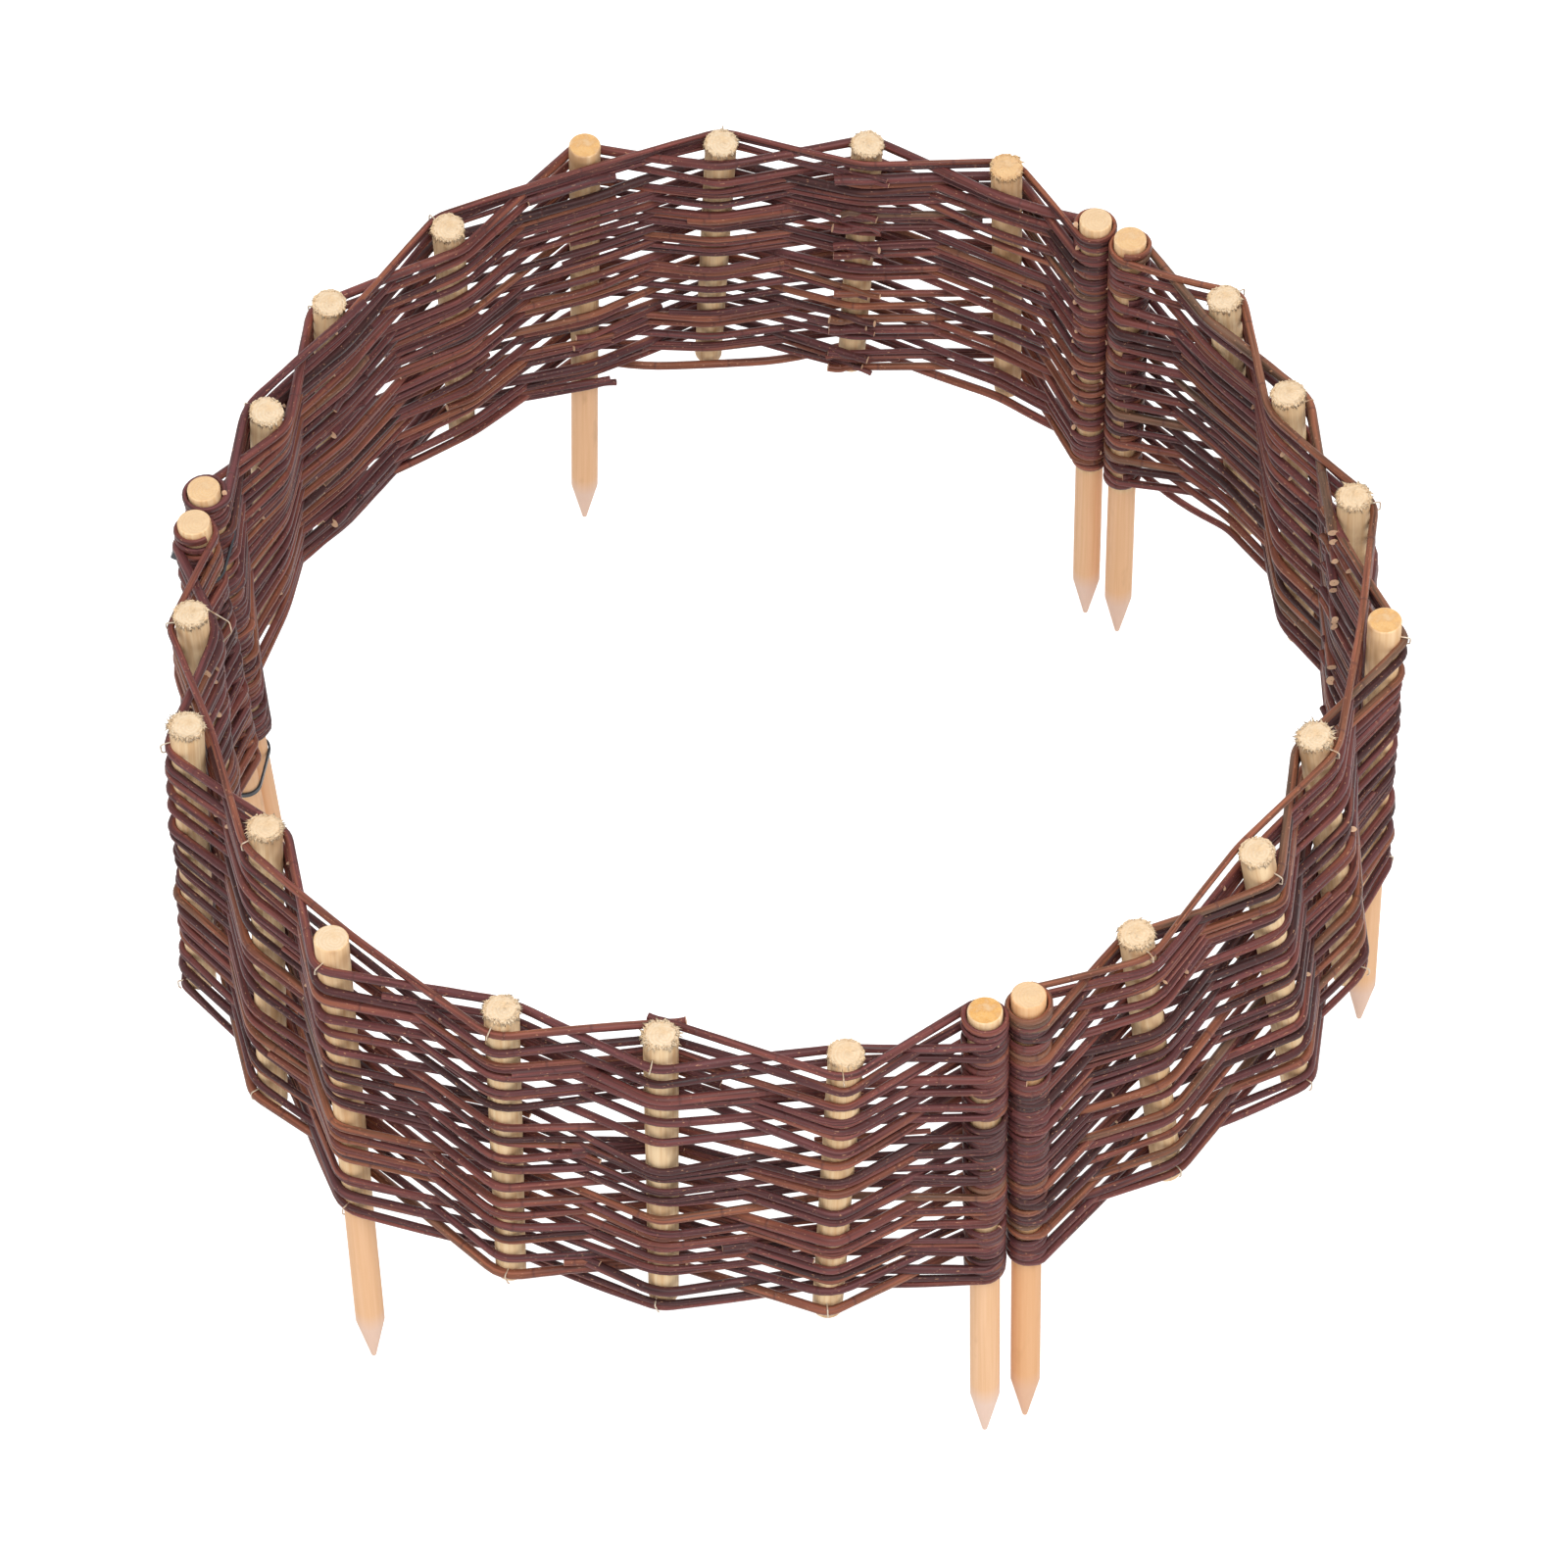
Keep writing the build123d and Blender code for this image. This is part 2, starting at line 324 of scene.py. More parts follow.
@dataclass(frozen=True)
class NodeTools:
    """Short ways to add and join shader nodes of one node tree."""

    tree: bpy.types.NodeTree

    def add(self, kind: str, **values: object) -> bpy.types.Node:
        """Adds a node and sets its properties.

        Args:
            kind: the node's type name.
            values: properties to set on it.

        Returns:
            The new node.
        """
        node = self.tree.nodes.new(kind)
        for name, value in values.items():
            setattr(node, name, value)
        return node

    def attribute(self, name: str, output: str) -> bpy.types.NodeSocket:
        """One output of a point attribute of the piece."""
        return self.add("ShaderNodeAttribute", attribute_name=name).outputs[output]

    def join(self, source: bpy.types.NodeSocket, target: bpy.types.NodeSocket) -> None:
        """Joins an output socket to an input socket."""
        self.tree.links.new(source, target)

    def feed(self, target: bpy.types.NodeSocket, value: object) -> None:
        """Joins a socket, or sets a plain value, on an input socket.

        Args:
            target: the input socket.
            value: an output socket, a number or a colour.
        """
        if isinstance(value, bpy.types.NodeSocket):
            self.join(value, target)
        else:
            target.default_value = value

    def maths(self, operation: str, first: object, second: object = 0.0) -> bpy.types.NodeSocket:
        """One Math node's result.

        Args:
            operation: the Math node's operation.
            first: its first input, a socket or a number.
            second: its second input, a socket or a number.

        Returns:
            The result socket.
        """
        node = self.add("ShaderNodeMath", operation=operation)
        self.feed(node.inputs[0], first)
        self.feed(node.inputs[1], second)
        return node.outputs[0]

    def noise(
        self, vector: bpy.types.NodeSocket, scale: float, detail: float = 3.0, rough: float = 0.55
    ) -> bpy.types.NodeSocket:
        """A noise value over a vector.

        Args:
            vector: the coordinates.
            scale: the noise's scale.
            detail: its detail.
            rough: its roughness.

        Returns:
            The value socket.
        """
        node = self.add("ShaderNodeTexNoise")
        self.join(vector, node.inputs["Vector"])
        node.inputs["Scale"].default_value = scale
        node.inputs["Detail"].default_value = detail
        node.inputs["Roughness"].default_value = rough
        return node.outputs["Fac"]

    def stretched(
        self, vector: bpy.types.NodeSocket, scale: Triple
    ) -> bpy.types.NodeSocket:
        """Coordinates multiplied axis by axis.

        Args:
            vector: the coordinates.
            scale: the factor of each axis.

        Returns:
            The scaled vector socket.
        """
        node = self.add("ShaderNodeVectorMath", operation="MULTIPLY")
        self.join(vector, node.inputs[0])
        node.inputs[1].default_value = scale
        return node.outputs[0]

    def ramp(
        self, value: bpy.types.NodeSocket, stops: list[tuple[float, Colour]]
    ) -> bpy.types.NodeSocket:
        """A colour ramp over a value.

        Args:
            value: the value from 0 to 1.
            stops: positions and colours.

        Returns:
            The colour socket.
        """
        node = self.add("ShaderNodeValToRGB")
        self.join(value, node.inputs["Fac"])
        elements = node.color_ramp.elements
        while len(elements) < len(stops):
            elements.new(0.5)
        for element, (position, colour) in zip(elements, stops):
            element.position = position
            element.color = (*colour, 1.0)
        return node.outputs["Color"]

    def mix(
        self, factor: object, first: object, second: object, blend: str = "MIX"
    ) -> bpy.types.NodeSocket:
        """Two colours mixed.

        Args:
            factor: the share of the second colour.
            first: a colour socket or value.
            second: a colour socket or value.
            blend: the blend type.

        Returns:
            The colour socket.
        """
        node = self.add("ShaderNodeMix", data_type="RGBA", blend_type=blend)
        self.feed(node.inputs["Factor"], factor)
        for name, colour in (("A", first), ("B", second)):
            joined = isinstance(colour, bpy.types.NodeSocket)
            self.feed(node.inputs[name], colour if joined else (*colour, 1.0))
        return node.outputs["Result"]

    def spread(
        self, value: object, low: float, high: float, to_low: float = 0.0, to_high: float = 1.0
    ) -> bpy.types.NodeSocket:
        """A value carried from one range to another, held inside it.

        Args:
            value: the value socket.
            low: the range's start.
            high: the range's end.
            to_low: what the start becomes.
            to_high: what the end becomes.

        Returns:
            The value socket.
        """
        node = self.add("ShaderNodeMapRange")
        self.feed(node.inputs["Value"], value)
        node.inputs["From Min"].default_value = low
        node.inputs["From Max"].default_value = high
        node.inputs["To Min"].default_value = to_low
        node.inputs["To Max"].default_value = to_high
        return node.outputs["Result"]

    def bump(
        self, height: bpy.types.NodeSocket, strength: float, distance: float
    ) -> bpy.types.NodeSocket:
        """A normal bent by a height.

        Args:
            height: the height socket.
            strength: the bump's strength.
            distance: the height of a full step, in metres.

        Returns:
            The normal socket.
        """
        node = self.add("ShaderNodeBump")
        node.inputs["Strength"].default_value = strength
        node.inputs["Distance"].default_value = distance
        self.join(height, node.inputs["Height"])
        return node.outputs["Normal"]

    def seen(self) -> bpy.types.NodeSocket:
        """Tells the rays that show something: from the camera, a gloss or a clear body.

        Returns:
            A value socket, one for such a ray and nought for any other.
        """
        path = self.add("ShaderNodeLightPath")
        seen = self.maths("MAXIMUM", path.outputs["Is Camera Ray"], path.outputs["Is Glossy Ray"])
        return self.maths("MAXIMUM", seen, path.outputs["Is Transmission Ray"])


def new_material(name: str) -> tuple[bpy.types.Material, NodeTools, bpy.types.Node]:
    """An empty material with its Principled shader joined to its output.

    Args:
        name: the material's name.

    Returns:
        The material, its node tools and the shader node.
    """
    material = bpy.data.materials.new(name)
    material.use_nodes = True
    tools = NodeTools(material.node_tree)
    shader = material.node_tree.nodes["Principled BSDF"]
    return material, tools, shader


@dataclass(frozen=True)
class GrainGroup:
    """The grain that bark and peeled wood share: long streaks and broad blotches."""

    name: str = "long_grain"

    def tree(self) -> bpy.types.NodeTree:
        """The node group, made on first use.

        Returns:
            A group that turns a place and two scales into two noise values.
        """
        if self.name in bpy.data.node_groups:
            return bpy.data.node_groups[self.name]
        tree = bpy.data.node_groups.new(self.name, "ShaderNodeTree")
        for socket in ("Place", "Streak Scale", "Blotch Scale"):
            tree.interface.new_socket(socket, in_out="INPUT", socket_type="NodeSocketVector")
        for socket in ("Streaks", "Blotches"):
            tree.interface.new_socket(socket, in_out="OUTPUT", socket_type="NodeSocketFloat")
        tools = NodeTools(tree)
        given = tools.add("NodeGroupInput")
        result = tools.add("NodeGroupOutput")
        details = (("Streak Scale", "Streaks", 4.0), ("Blotch Scale", "Blotches", 2.5))
        for scale, output, detail in details:
            drawn_out = tools.add("ShaderNodeVectorMath", operation="MULTIPLY")
            tools.join(given.outputs["Place"], drawn_out.inputs[0])
            tools.join(given.outputs[scale], drawn_out.inputs[1])
            tools.join(tools.noise(drawn_out.outputs[0], 1.0, detail), result.inputs[output])
        return tree

    def use(
        self,
        tools: NodeTools,
        place: bpy.types.NodeSocket,
        streak: Triple,
        blotch: Triple,
    ) -> tuple[bpy.types.NodeSocket, bpy.types.NodeSocket]:
        """Puts the group into a material.

        Args:
            tools: the material's node tools.
            place: the coordinates.
            streak: the streaks' scale along each axis.
            blotch: the blotches' scale along each axis.

        Returns:
            The streak and blotch values.
        """
        node = tools.add("ShaderNodeGroup", node_tree=self.tree())
        tools.join(place, node.inputs["Place"])
        node.inputs["Streak Scale"].default_value = streak
        node.inputs["Blotch Scale"].default_value = blotch
        return node.outputs["Streaks"], node.outputs["Blotches"]


@dataclass(frozen=True)
class BarkFinish:
    """Steamed willow bark: dark red-brown, streaked along the rod, with ringed buds.

    The rod's place is the cosine and sine of its bearing, and metres along it.
    """

    dark: Colour = (0.080, 0.029, 0.028)
    plum: Colour = (0.170, 0.053, 0.055)
    red: Colour = (0.245, 0.071, 0.058)
    orange: Colour = (0.360, 0.125, 0.066)
    olive: Colour = (0.200, 0.110, 0.070)
    scar: Colour = (0.520, 0.270, 0.150)
    shade_stops: tuple[float, ...] = (0.05, 0.35, 0.62, 0.84, 0.97)
    streak_scale: Triple = (1.7, 1.7, 24.0)
    patch_scale: Triple = (0.4, 0.4, 11.0)
    speck_scale: Triple = (3.2, 3.2, 420.0)
    patch_range: Span = (0.3, 0.7)
    tone_drift: float = 0.16
    streak_range: Span = (0.3, 0.72)
    streak_shade: Span = (0.26, 1.06)
    scuff_range: Span = (0.6, 0.74)
    scuffing: float = 0.6
    buds_per_metre: float = 24.0
    bud_ring: float = 0.028
    bud_dark: float = 0.55
    bud_height: float = 0.8
    scar_range: Span = (0.68, 0.74)
    scarring: float = 0.75
    gloss_range: Span = (0.2, 0.8)
    roughness: Span = (0.32, 0.52)
    specular: float = 0.22
    relief: Span = (0.6, 0.4 * MM)

    def material(self) -> bpy.types.Material:
        """Builds the bark's material.

        Returns:
            The material.
        """
        material, tools, shader = new_material("willow_bark")
        place = tools.attribute("place", "Vector")
        tone = tools.attribute("tone", "Fac")
        streaks, patches = GrainGroup().use(tools, place, self.streak_scale, self.patch_scale)
        drift = tools.spread(patches, *self.patch_range, -self.tone_drift, self.tone_drift)
        shades = (self.dark, self.plum, self.red, self.orange, self.olive)
        base = tools.ramp(tools.maths("ADD", tone, drift), list(zip(self.shade_stops, shades)))
        shade = tools.spread(streaks, *self.streak_range, *self.streak_shade)
        grey = tools.ramp(shade, [(0.0, (0.0, 0.0, 0.0)), (1.0, (1.0, 1.0, 1.0))])
        streaked = tools.mix(1.0, base, grey, "MULTIPLY")
        scuffs = tools.spread(patches, *self.scuff_range, 0.0, self.scuffing)
        scuffed = tools.mix(scuffs, streaked, self.orange)
        apart = tools.add("ShaderNodeSeparateXYZ")
        tools.join(place, apart.inputs[0])
        beat = tools.maths("FRACT", tools.maths("MULTIPLY", apart.outputs["Z"], self.buds_per_metre))
        off_bud = tools.maths("ABSOLUTE", tools.maths("SUBTRACT", beat, 0.5))
        ring = tools.spread(off_bud, 0.0, self.bud_ring, 1.0, 0.0)
        budded = tools.mix(tools.maths("MULTIPLY", ring, self.bud_dark), scuffed, self.dark)
        specks = tools.noise(tools.stretched(place, self.speck_scale), 1.0, 1.0)
        scars = tools.spread(specks, *self.scar_range, 0.0, self.scarring)
        scarred = tools.mix(scars, budded, self.scar)
        tools.join(scarred, shader.inputs["Base Color"])
        gloss = tools.spread(streaks, *self.gloss_range, *self.roughness)
        tools.join(gloss, shader.inputs["Roughness"])
        shader.inputs["Specular IOR Level"].default_value = self.specular
        height = tools.maths("ADD", streaks, tools.maths("MULTIPLY", ring, self.bud_height))
        tools.join(tools.bump(height, *self.relief), shader.inputs["Normal"])
        return material


@dataclass(frozen=True)
class CutEndFinish:
    """The pale wood that shows where a rod is cut."""

    wood: Colour = (0.86, 0.56, 0.36)
    pith: Colour = (0.30, 0.15, 0.08)
    pith_reach: float = 0.16
    bark_reach: float = 0.94
    roughness: float = 0.75

    def material(self) -> bpy.types.Material:
        """Builds the cut end's material: wood with a dark pith in its middle and a dark rim.

        Returns:
            The material.
        """
        material, tools, shader = new_material("cut_rod_end")
        reach = tools.add("ShaderNodeVectorMath", operation="LENGTH")
        tools.join(tools.stretched(tools.attribute("place", "Vector"), FLAT), reach.inputs[0])
        reaches = (0.0, self.pith_reach, self.bark_reach, 1.0)
        shades = (self.pith, self.wood, self.wood, self.pith)
        face = tools.ramp(reach.outputs["Value"], list(zip(reaches, shades)))
        tools.join(face, shader.inputs["Base Color"])
        shader.inputs["Roughness"].default_value = self.roughness
        return material


@dataclass(frozen=True)
class PeeledWoodFinish:
    """Turned, peeled wood: cream with long grain, brown stains and smooth tan legs.

    A stake's place is its own: metres across it and up it.
    """

    cream: Colour = (0.93, 0.70, 0.43)
    tan: Colour = (0.78, 0.51, 0.27)
    stain: Colour = (0.40, 0.22, 0.11)
    leg: Colour = (0.88, 0.56, 0.34)
    leg_grain: Colour = (0.80, 0.48, 0.26)
    tip: Colour = (0.84, 0.64, 0.55)
    orange: Colour = (0.72, 0.34, 0.13)
    grain_scale: Triple = (560.0, 560.0, 11.0)
    blotch_scale: Triple = (75.0, 75.0, 26.0)
    grain_range: Span = (0.36, 0.64)
    stain_range: Span = (0.50, 0.68)
    staining: float = 0.75
    leg_grain_range: Span = (0.35, 0.7)
    leg_stain_range: Span = (0.6, 0.72)
    leg_staining: float = 0.35
    tip_paleness: float = 0.85
    warming: float = 0.4
    leg_height: Span = (133 * MM, 137 * MM)
    tip_height: Span = (30 * MM, 44 * MM)
    roughness: float = 0.62
    specular: float = 0.3
    relief: Span = (0.35, 0.5 * MM)

    def material(self) -> bpy.types.Material:
        """Builds the wood's material from each stake's own place and tone.

        Returns:
            The material.
        """
        material, tools, shader = new_material("peeled_wood")
        place = tools.attribute("place", "Vector")
        apart = tools.add("ShaderNodeSeparateXYZ")
        tools.join(place, apart.inputs[0])
        height = apart.outputs["Z"]
        grain, blotch = GrainGroup().use(tools, place, self.grain_scale, self.blotch_scale)
        wood = tools.mix(tools.spread(grain, *self.grain_range), self.cream, self.tan)
        stains = tools.spread(blotch, *self.stain_range, 0.0, self.staining)
        stained = tools.mix(stains, wood, self.stain)
        smooth = tools.mix(tools.spread(grain, *self.leg_grain_range), self.leg, self.leg_grain)
        smudges = tools.spread(blotch, *self.leg_stain_range, 0.0, self.leg_staining)
        smudged = tools.mix(smudges, smooth, self.stain)
        legged = tools.mix(tools.spread(height, *self.leg_height, 1.0, 0.0), stained, smudged)
        tipped = tools.mix(tools.spread(height, *self.tip_height, self.tip_paleness, 0.0), legged, self.tip)
        warmth = tools.maths("MULTIPLY", tools.attribute("tone", "Fac"), self.warming)
        tools.join(tools.mix(warmth, tipped, self.orange), shader.inputs["Base Color"])
        shader.inputs["Roughness"].default_value = self.roughness
        shader.inputs["Specular IOR Level"].default_value = self.specular
        tools.join(tools.bump(grain, *self.relief), shader.inputs["Normal"])
        return material


@dataclass(frozen=True)
class SawnTopFinish:
    """A stake's sawn top: pale end grain with faint rings, and orange heartwood in some."""

    pale: Colour = (0.86, 0.70, 0.51)
    ring: Colour = (0.80, 0.57, 0.34)
    heart: Colour = (0.82, 0.46, 0.15)
    dark_heart: Colour = (0.70, 0.32, 0.06)
    rings_scale: float = 170.0
    rings_bend: float = 2.5
    rings_share: float = 0.5
    saw_scale: Triple = (900.0, 2200.0, 0.0)
    broad_scale: Triple = (130.0, 130.0, 0.0)
    heart_range: Span = (0.44, 0.56)
    stain_range: Span = (0.5, 0.66)
    staining: float = 0.75
    fibre_range: Span = (0.45, 0.72)
    fibres: float = 0.6
    roughness: float = 0.85
    specular: float = 0.2
    relief: Span = (0.9, 0.8 * MM)

    def material(self) -> bpy.types.Material:
        """Builds the end grain's material; the tone says how much of it is heartwood.

        Returns:
            The material.
        """
        material, tools, shader = new_material("sawn_top")
        place = tools.attribute("place", "Vector")
        rings = tools.add("ShaderNodeTexWave", wave_type="RINGS", rings_direction="Z")
        tools.join(tools.stretched(place, FLAT), rings.inputs["Vector"])
        rings.inputs["Scale"].default_value = self.rings_scale
        rings.inputs["Distortion"].default_value = self.rings_bend
        rough = tools.noise(tools.stretched(place, self.saw_scale), 1.0, 3.0)
        broad = tools.noise(tools.stretched(place, self.broad_scale), 1.0, 2.0)
        faint = tools.maths("MULTIPLY", rings.outputs["Fac"], self.rings_share)
        pale = tools.mix(faint, self.pale, self.ring)
        heart = tools.mix(tools.spread(broad, *self.heart_range), self.heart, self.dark_heart)
        colour = tools.mix(tools.attribute("tone", "Fac"), pale, heart)
        stains = tools.spread(broad, *self.stain_range, 0.0, self.staining)
        stained = tools.mix(stains, colour, self.ring)
        fibres = tools.spread(rough, *self.fibre_range, 0.0, self.fibres)
        fibrous = tools.mix(fibres, stained, self.ring)
        tools.join(fibrous, shader.inputs["Base Color"])
        shader.inputs["Roughness"].default_value = self.roughness
        shader.inputs["Specular IOR Level"].default_value = self.specular
        tools.join(tools.bump(rough, *self.relief), shader.inputs["Normal"])
        return material


@dataclass(frozen=True)
class WireFinish:
    """The staples' thin galvanised wire, yellowed in places."""

    zinc: Colour = (0.62, 0.54, 0.43)
    rust: Colour = (0.42, 0.23, 0.12)
    mottle_scale: Triple = (1.0, 1.0, 260.0)
    rust_range: Span = (0.48, 0.62)
    metallic: float = 0.55
    roughness: float = 0.42

    def material(self) -> bpy.types.Material:
        """Builds the wire's material.

        Returns:
            The material.
        """
        material, tools, shader = new_material("staple_wire")
        place = tools.attribute("place", "Vector")
        mottled = tools.noise(tools.stretched(place, self.mottle_scale), 1.0, 2.0)
        colour = tools.mix(tools.spread(mottled, *self.rust_range), self.zinc, self.rust)
        tools.join(colour, shader.inputs["Base Color"])
        shader.inputs["Metallic"].default_value = self.metallic
        shader.inputs["Roughness"].default_value = self.roughness
        return material


@dataclass(frozen=True)
class TieNylonFinish:
    """The cable ties' dark grey nylon, a little uneven in its gloss."""

    grey: Colour = (0.028, 0.032, 0.040)
    haze_scale: float = 900.0
    haze_range: Span = (0.3, 0.7)
    roughness: Span = (0.32, 0.5)
    relief: Span = (0.2, 0.2 * MM)

    def material(self) -> bpy.types.Material:
        """Builds the nylon's material.

        Returns:
            The material.
        """
        material, tools, shader = new_material("tie_nylon")
        haze = tools.noise(tools.add("ShaderNodeTexCoord").outputs["Object"], self.haze_scale, 2.0)
        shader.inputs["Base Color"].default_value = (*self.grey, 1.0)
        gloss = tools.spread(haze, *self.haze_range, *self.roughness)
        tools.join(gloss, shader.inputs["Roughness"])
        tools.join(tools.bump(haze, *self.relief), shader.inputs["Normal"])
        return material


@dataclass(frozen=True)
class StakeLine:
    """A stake's leaning line: plan points at the floor and at the top's height."""

    foot: Array
    top: Array
    length: float

    def at(self, height: Array | float) -> Array:
        """The plan point at a height, or one for each of several heights."""
        share = np.asarray(height)[..., None] / self.length
        return self.foot + (self.top - self.foot) * share

    @property
    def way(self) -> Array:
        """The unit vector from foot to top."""
        return unit(np.append(self.top - self.foot, self.length))


@dataclass
class StakeSizes:
    """Sizes of the turned stakes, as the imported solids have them.

    A leaning stake's end spreads over a small height, which the end depths take in.
    """

    length: float = 340 * MM
    short_length: float = 204 * MM
    top_diameter: float = 17.2 * MM
    leg_diameter: float = 15.2 * MM
    leg_top: float = 130 * MM
    tip_length: float = 32 * MM
    tip_diameter: float = 2.6 * MM
    top_round: float = 0.8 * MM
    long_numbers: tuple[int, ...] = (0, 4, 8)
    end_depth: float = 2.5 * MM
    point_depth: float = 0.4 * MM

    def radius(self, height: Array | float) -> Array:
        """A stake's radius over its point: an even leg, and an even swell to the top."""
        share = np.maximum(np.asarray(height) - self.leg_top, 0) / (self.length - self.leg_top)
        return (self.leg_diameter + (self.top_diameter - self.leg_diameter) * share) / 2


def stake_line(node: str, sizes: StakeSizes, long: bool) -> StakeLine:
    """A stake's line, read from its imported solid.

    The top and bottom points are the middles of the vertices at the solid's two ends.

    Args:
        node: the stake's node.
        sizes: the stakes' sizes.
        long: whether it is a pointed long stake.

    Returns:
        The line.
    """
    mesh = bpy.data.objects[node].data
    points = np.empty(len(mesh.vertices) * 3, np.float32)
    mesh.vertices.foreach_get("co", points)
    points = np.unique(np.round(points.reshape(-1, 3).astype(float), 6), axis=0)
    height = points[:, 2]
    top = points[height > height.max() - sizes.end_depth]
    low = points[height < height.min() + (sizes.point_depth if long else sizes.end_depth)]
    top_middle = (top.min(axis=0) + top.max(axis=0)) / 2
    low_middle = (low.min(axis=0) + low.max(axis=0)) / 2
    slope = (top_middle - low_middle)[:2] / (top_middle[2] - low_middle[2])
    foot = low_middle[:2] - slope * low_middle[2]
    return StakeLine(foot, foot + slope * sizes.length, sizes.length)


@dataclass
class WeaveSizes:
    """Sizes of the weave and of its rods, and how uneven they are.

    A pair of numbers is the least and the most of what is drawn at random, but the tapers
    go from a rod's thick end to its thin one, the drift is a mean and a deviation, and the
    tone's shape is that of a beta distribution. Turns are in degrees, except turn_step and
    flattening_turn, which are in radians.
    """

    courses: int = 34
    strands: int = 9
    pitch: float = 5.8 * MM
    lowest: float = 140 * MM
    rod_radius: float = 2.25 * MM
    uneven_radius: Span = (0.88, 1.14)
    beside: float = 0.5
    thin_share: float = 0.34
    thin_radius: float = 1.6 * MM
    uneven_thin: Span = (0.9, 1.1)
    taper: Span = (1.10, 0.88)
    knobbly: float = 0.03
    most_knobbly: float = 0.08
    tone_shape: Span = (1.8, 2.1)
    seed_reach: float = 60.0
    bend_trim: float = 8.5 * MM
    uneven_bend: Span = (0.6, 1.35)
    bend_room: float = 1.2 * MM
    bend_steps: int = 5
    run_trim: float = 17 * MM
    run_steps: int = 2
    wrap_half_out: float = 1.35 * MM
    wrap_half_up: float = 2.15 * MM
    wrap_gap: float = 0.25 * MM
    outside_turn: float = 470.0
    inside_turn: float = 352.0
    uneven_turn: Span = (-25.0, 12.0)
    short_wraps: float = 0.14
    short_turn: Span = (110.0, 230.0)
    turn_step: float = 0.24
    flattening_turn: float = 0.7
    climb: float = 2 / 3
    groups: tuple[float, ...] = (1.9 * MM, 2.0 * MM, 0.7 * MM)
    group_courses: tuple[float, ...] = (4.3, 9.7, 2.7)
    group_phase: float = 6.28
    group_drift: Span = (0.6, 0.9)
    end_lift: float = 0.6
    wander: float = 0.6 * MM
    run_wander: float = 1.2 * MM
    parting_reach: float = 26 * MM
    parting_edge: float = 2 * MM
    loose_partings: int = 5
    loose_opening: Span = (2 * MM, 6 * MM)
    wrap_uneven: Span = (0.85, 1.35)
    edge_sag: Span = (0.1, 1.0)
    most_sag: float = 4.5 * MM
    cut_length: float = 11 * MM
    uneven_cut: Span = (0.7, 1.4)
    filler_reach: Span = (0.40, 0.95)
    filler_stub: Span = (0.10, 0.34)
    filler_rise: Span = (0.75, 1.25)
    filler_radius: Span = (0.6, 1.0)
    filler_taper: Span = (1.06, 0.94)
    filler_steps: int = 4
    bare_top: int = 3
    butt_radius: float = 3.3 * MM
    low_run_rises: Span = (1.5, 0.9)
    sides: int = 9


@dataclass(frozen=True)
class RodRun:
    """One rod's run along a course: the stakes it passes and what it does at each end."""

    course: int
    first: int
    final: int
    first_tail: RodTail
    final_tail: RodTail


@dataclass(frozen=True)
class PanelPlan:
    """What sets one panel's weave apart from the others'. Stakes count from nought.

    The splices say how likely a course is to change rods on the inner side of a stake.
    The partings are places where the rods stand apart: stake, height and opening. The
    fillers say, stake by stake, how likely a short rod lies between two inner passes.
    The low runs are part rods at the lowest course, and the butts are rods' thick ends,
    by course and stake.
    """

    splices: dict[int, float]
    partings: tuple[tuple[int, float, float], ...]
    fillers: tuple[float, ...]
    low_runs: tuple[RodRun, ...] = ()
    butts: tuple[tuple[int, int], ...] = ()


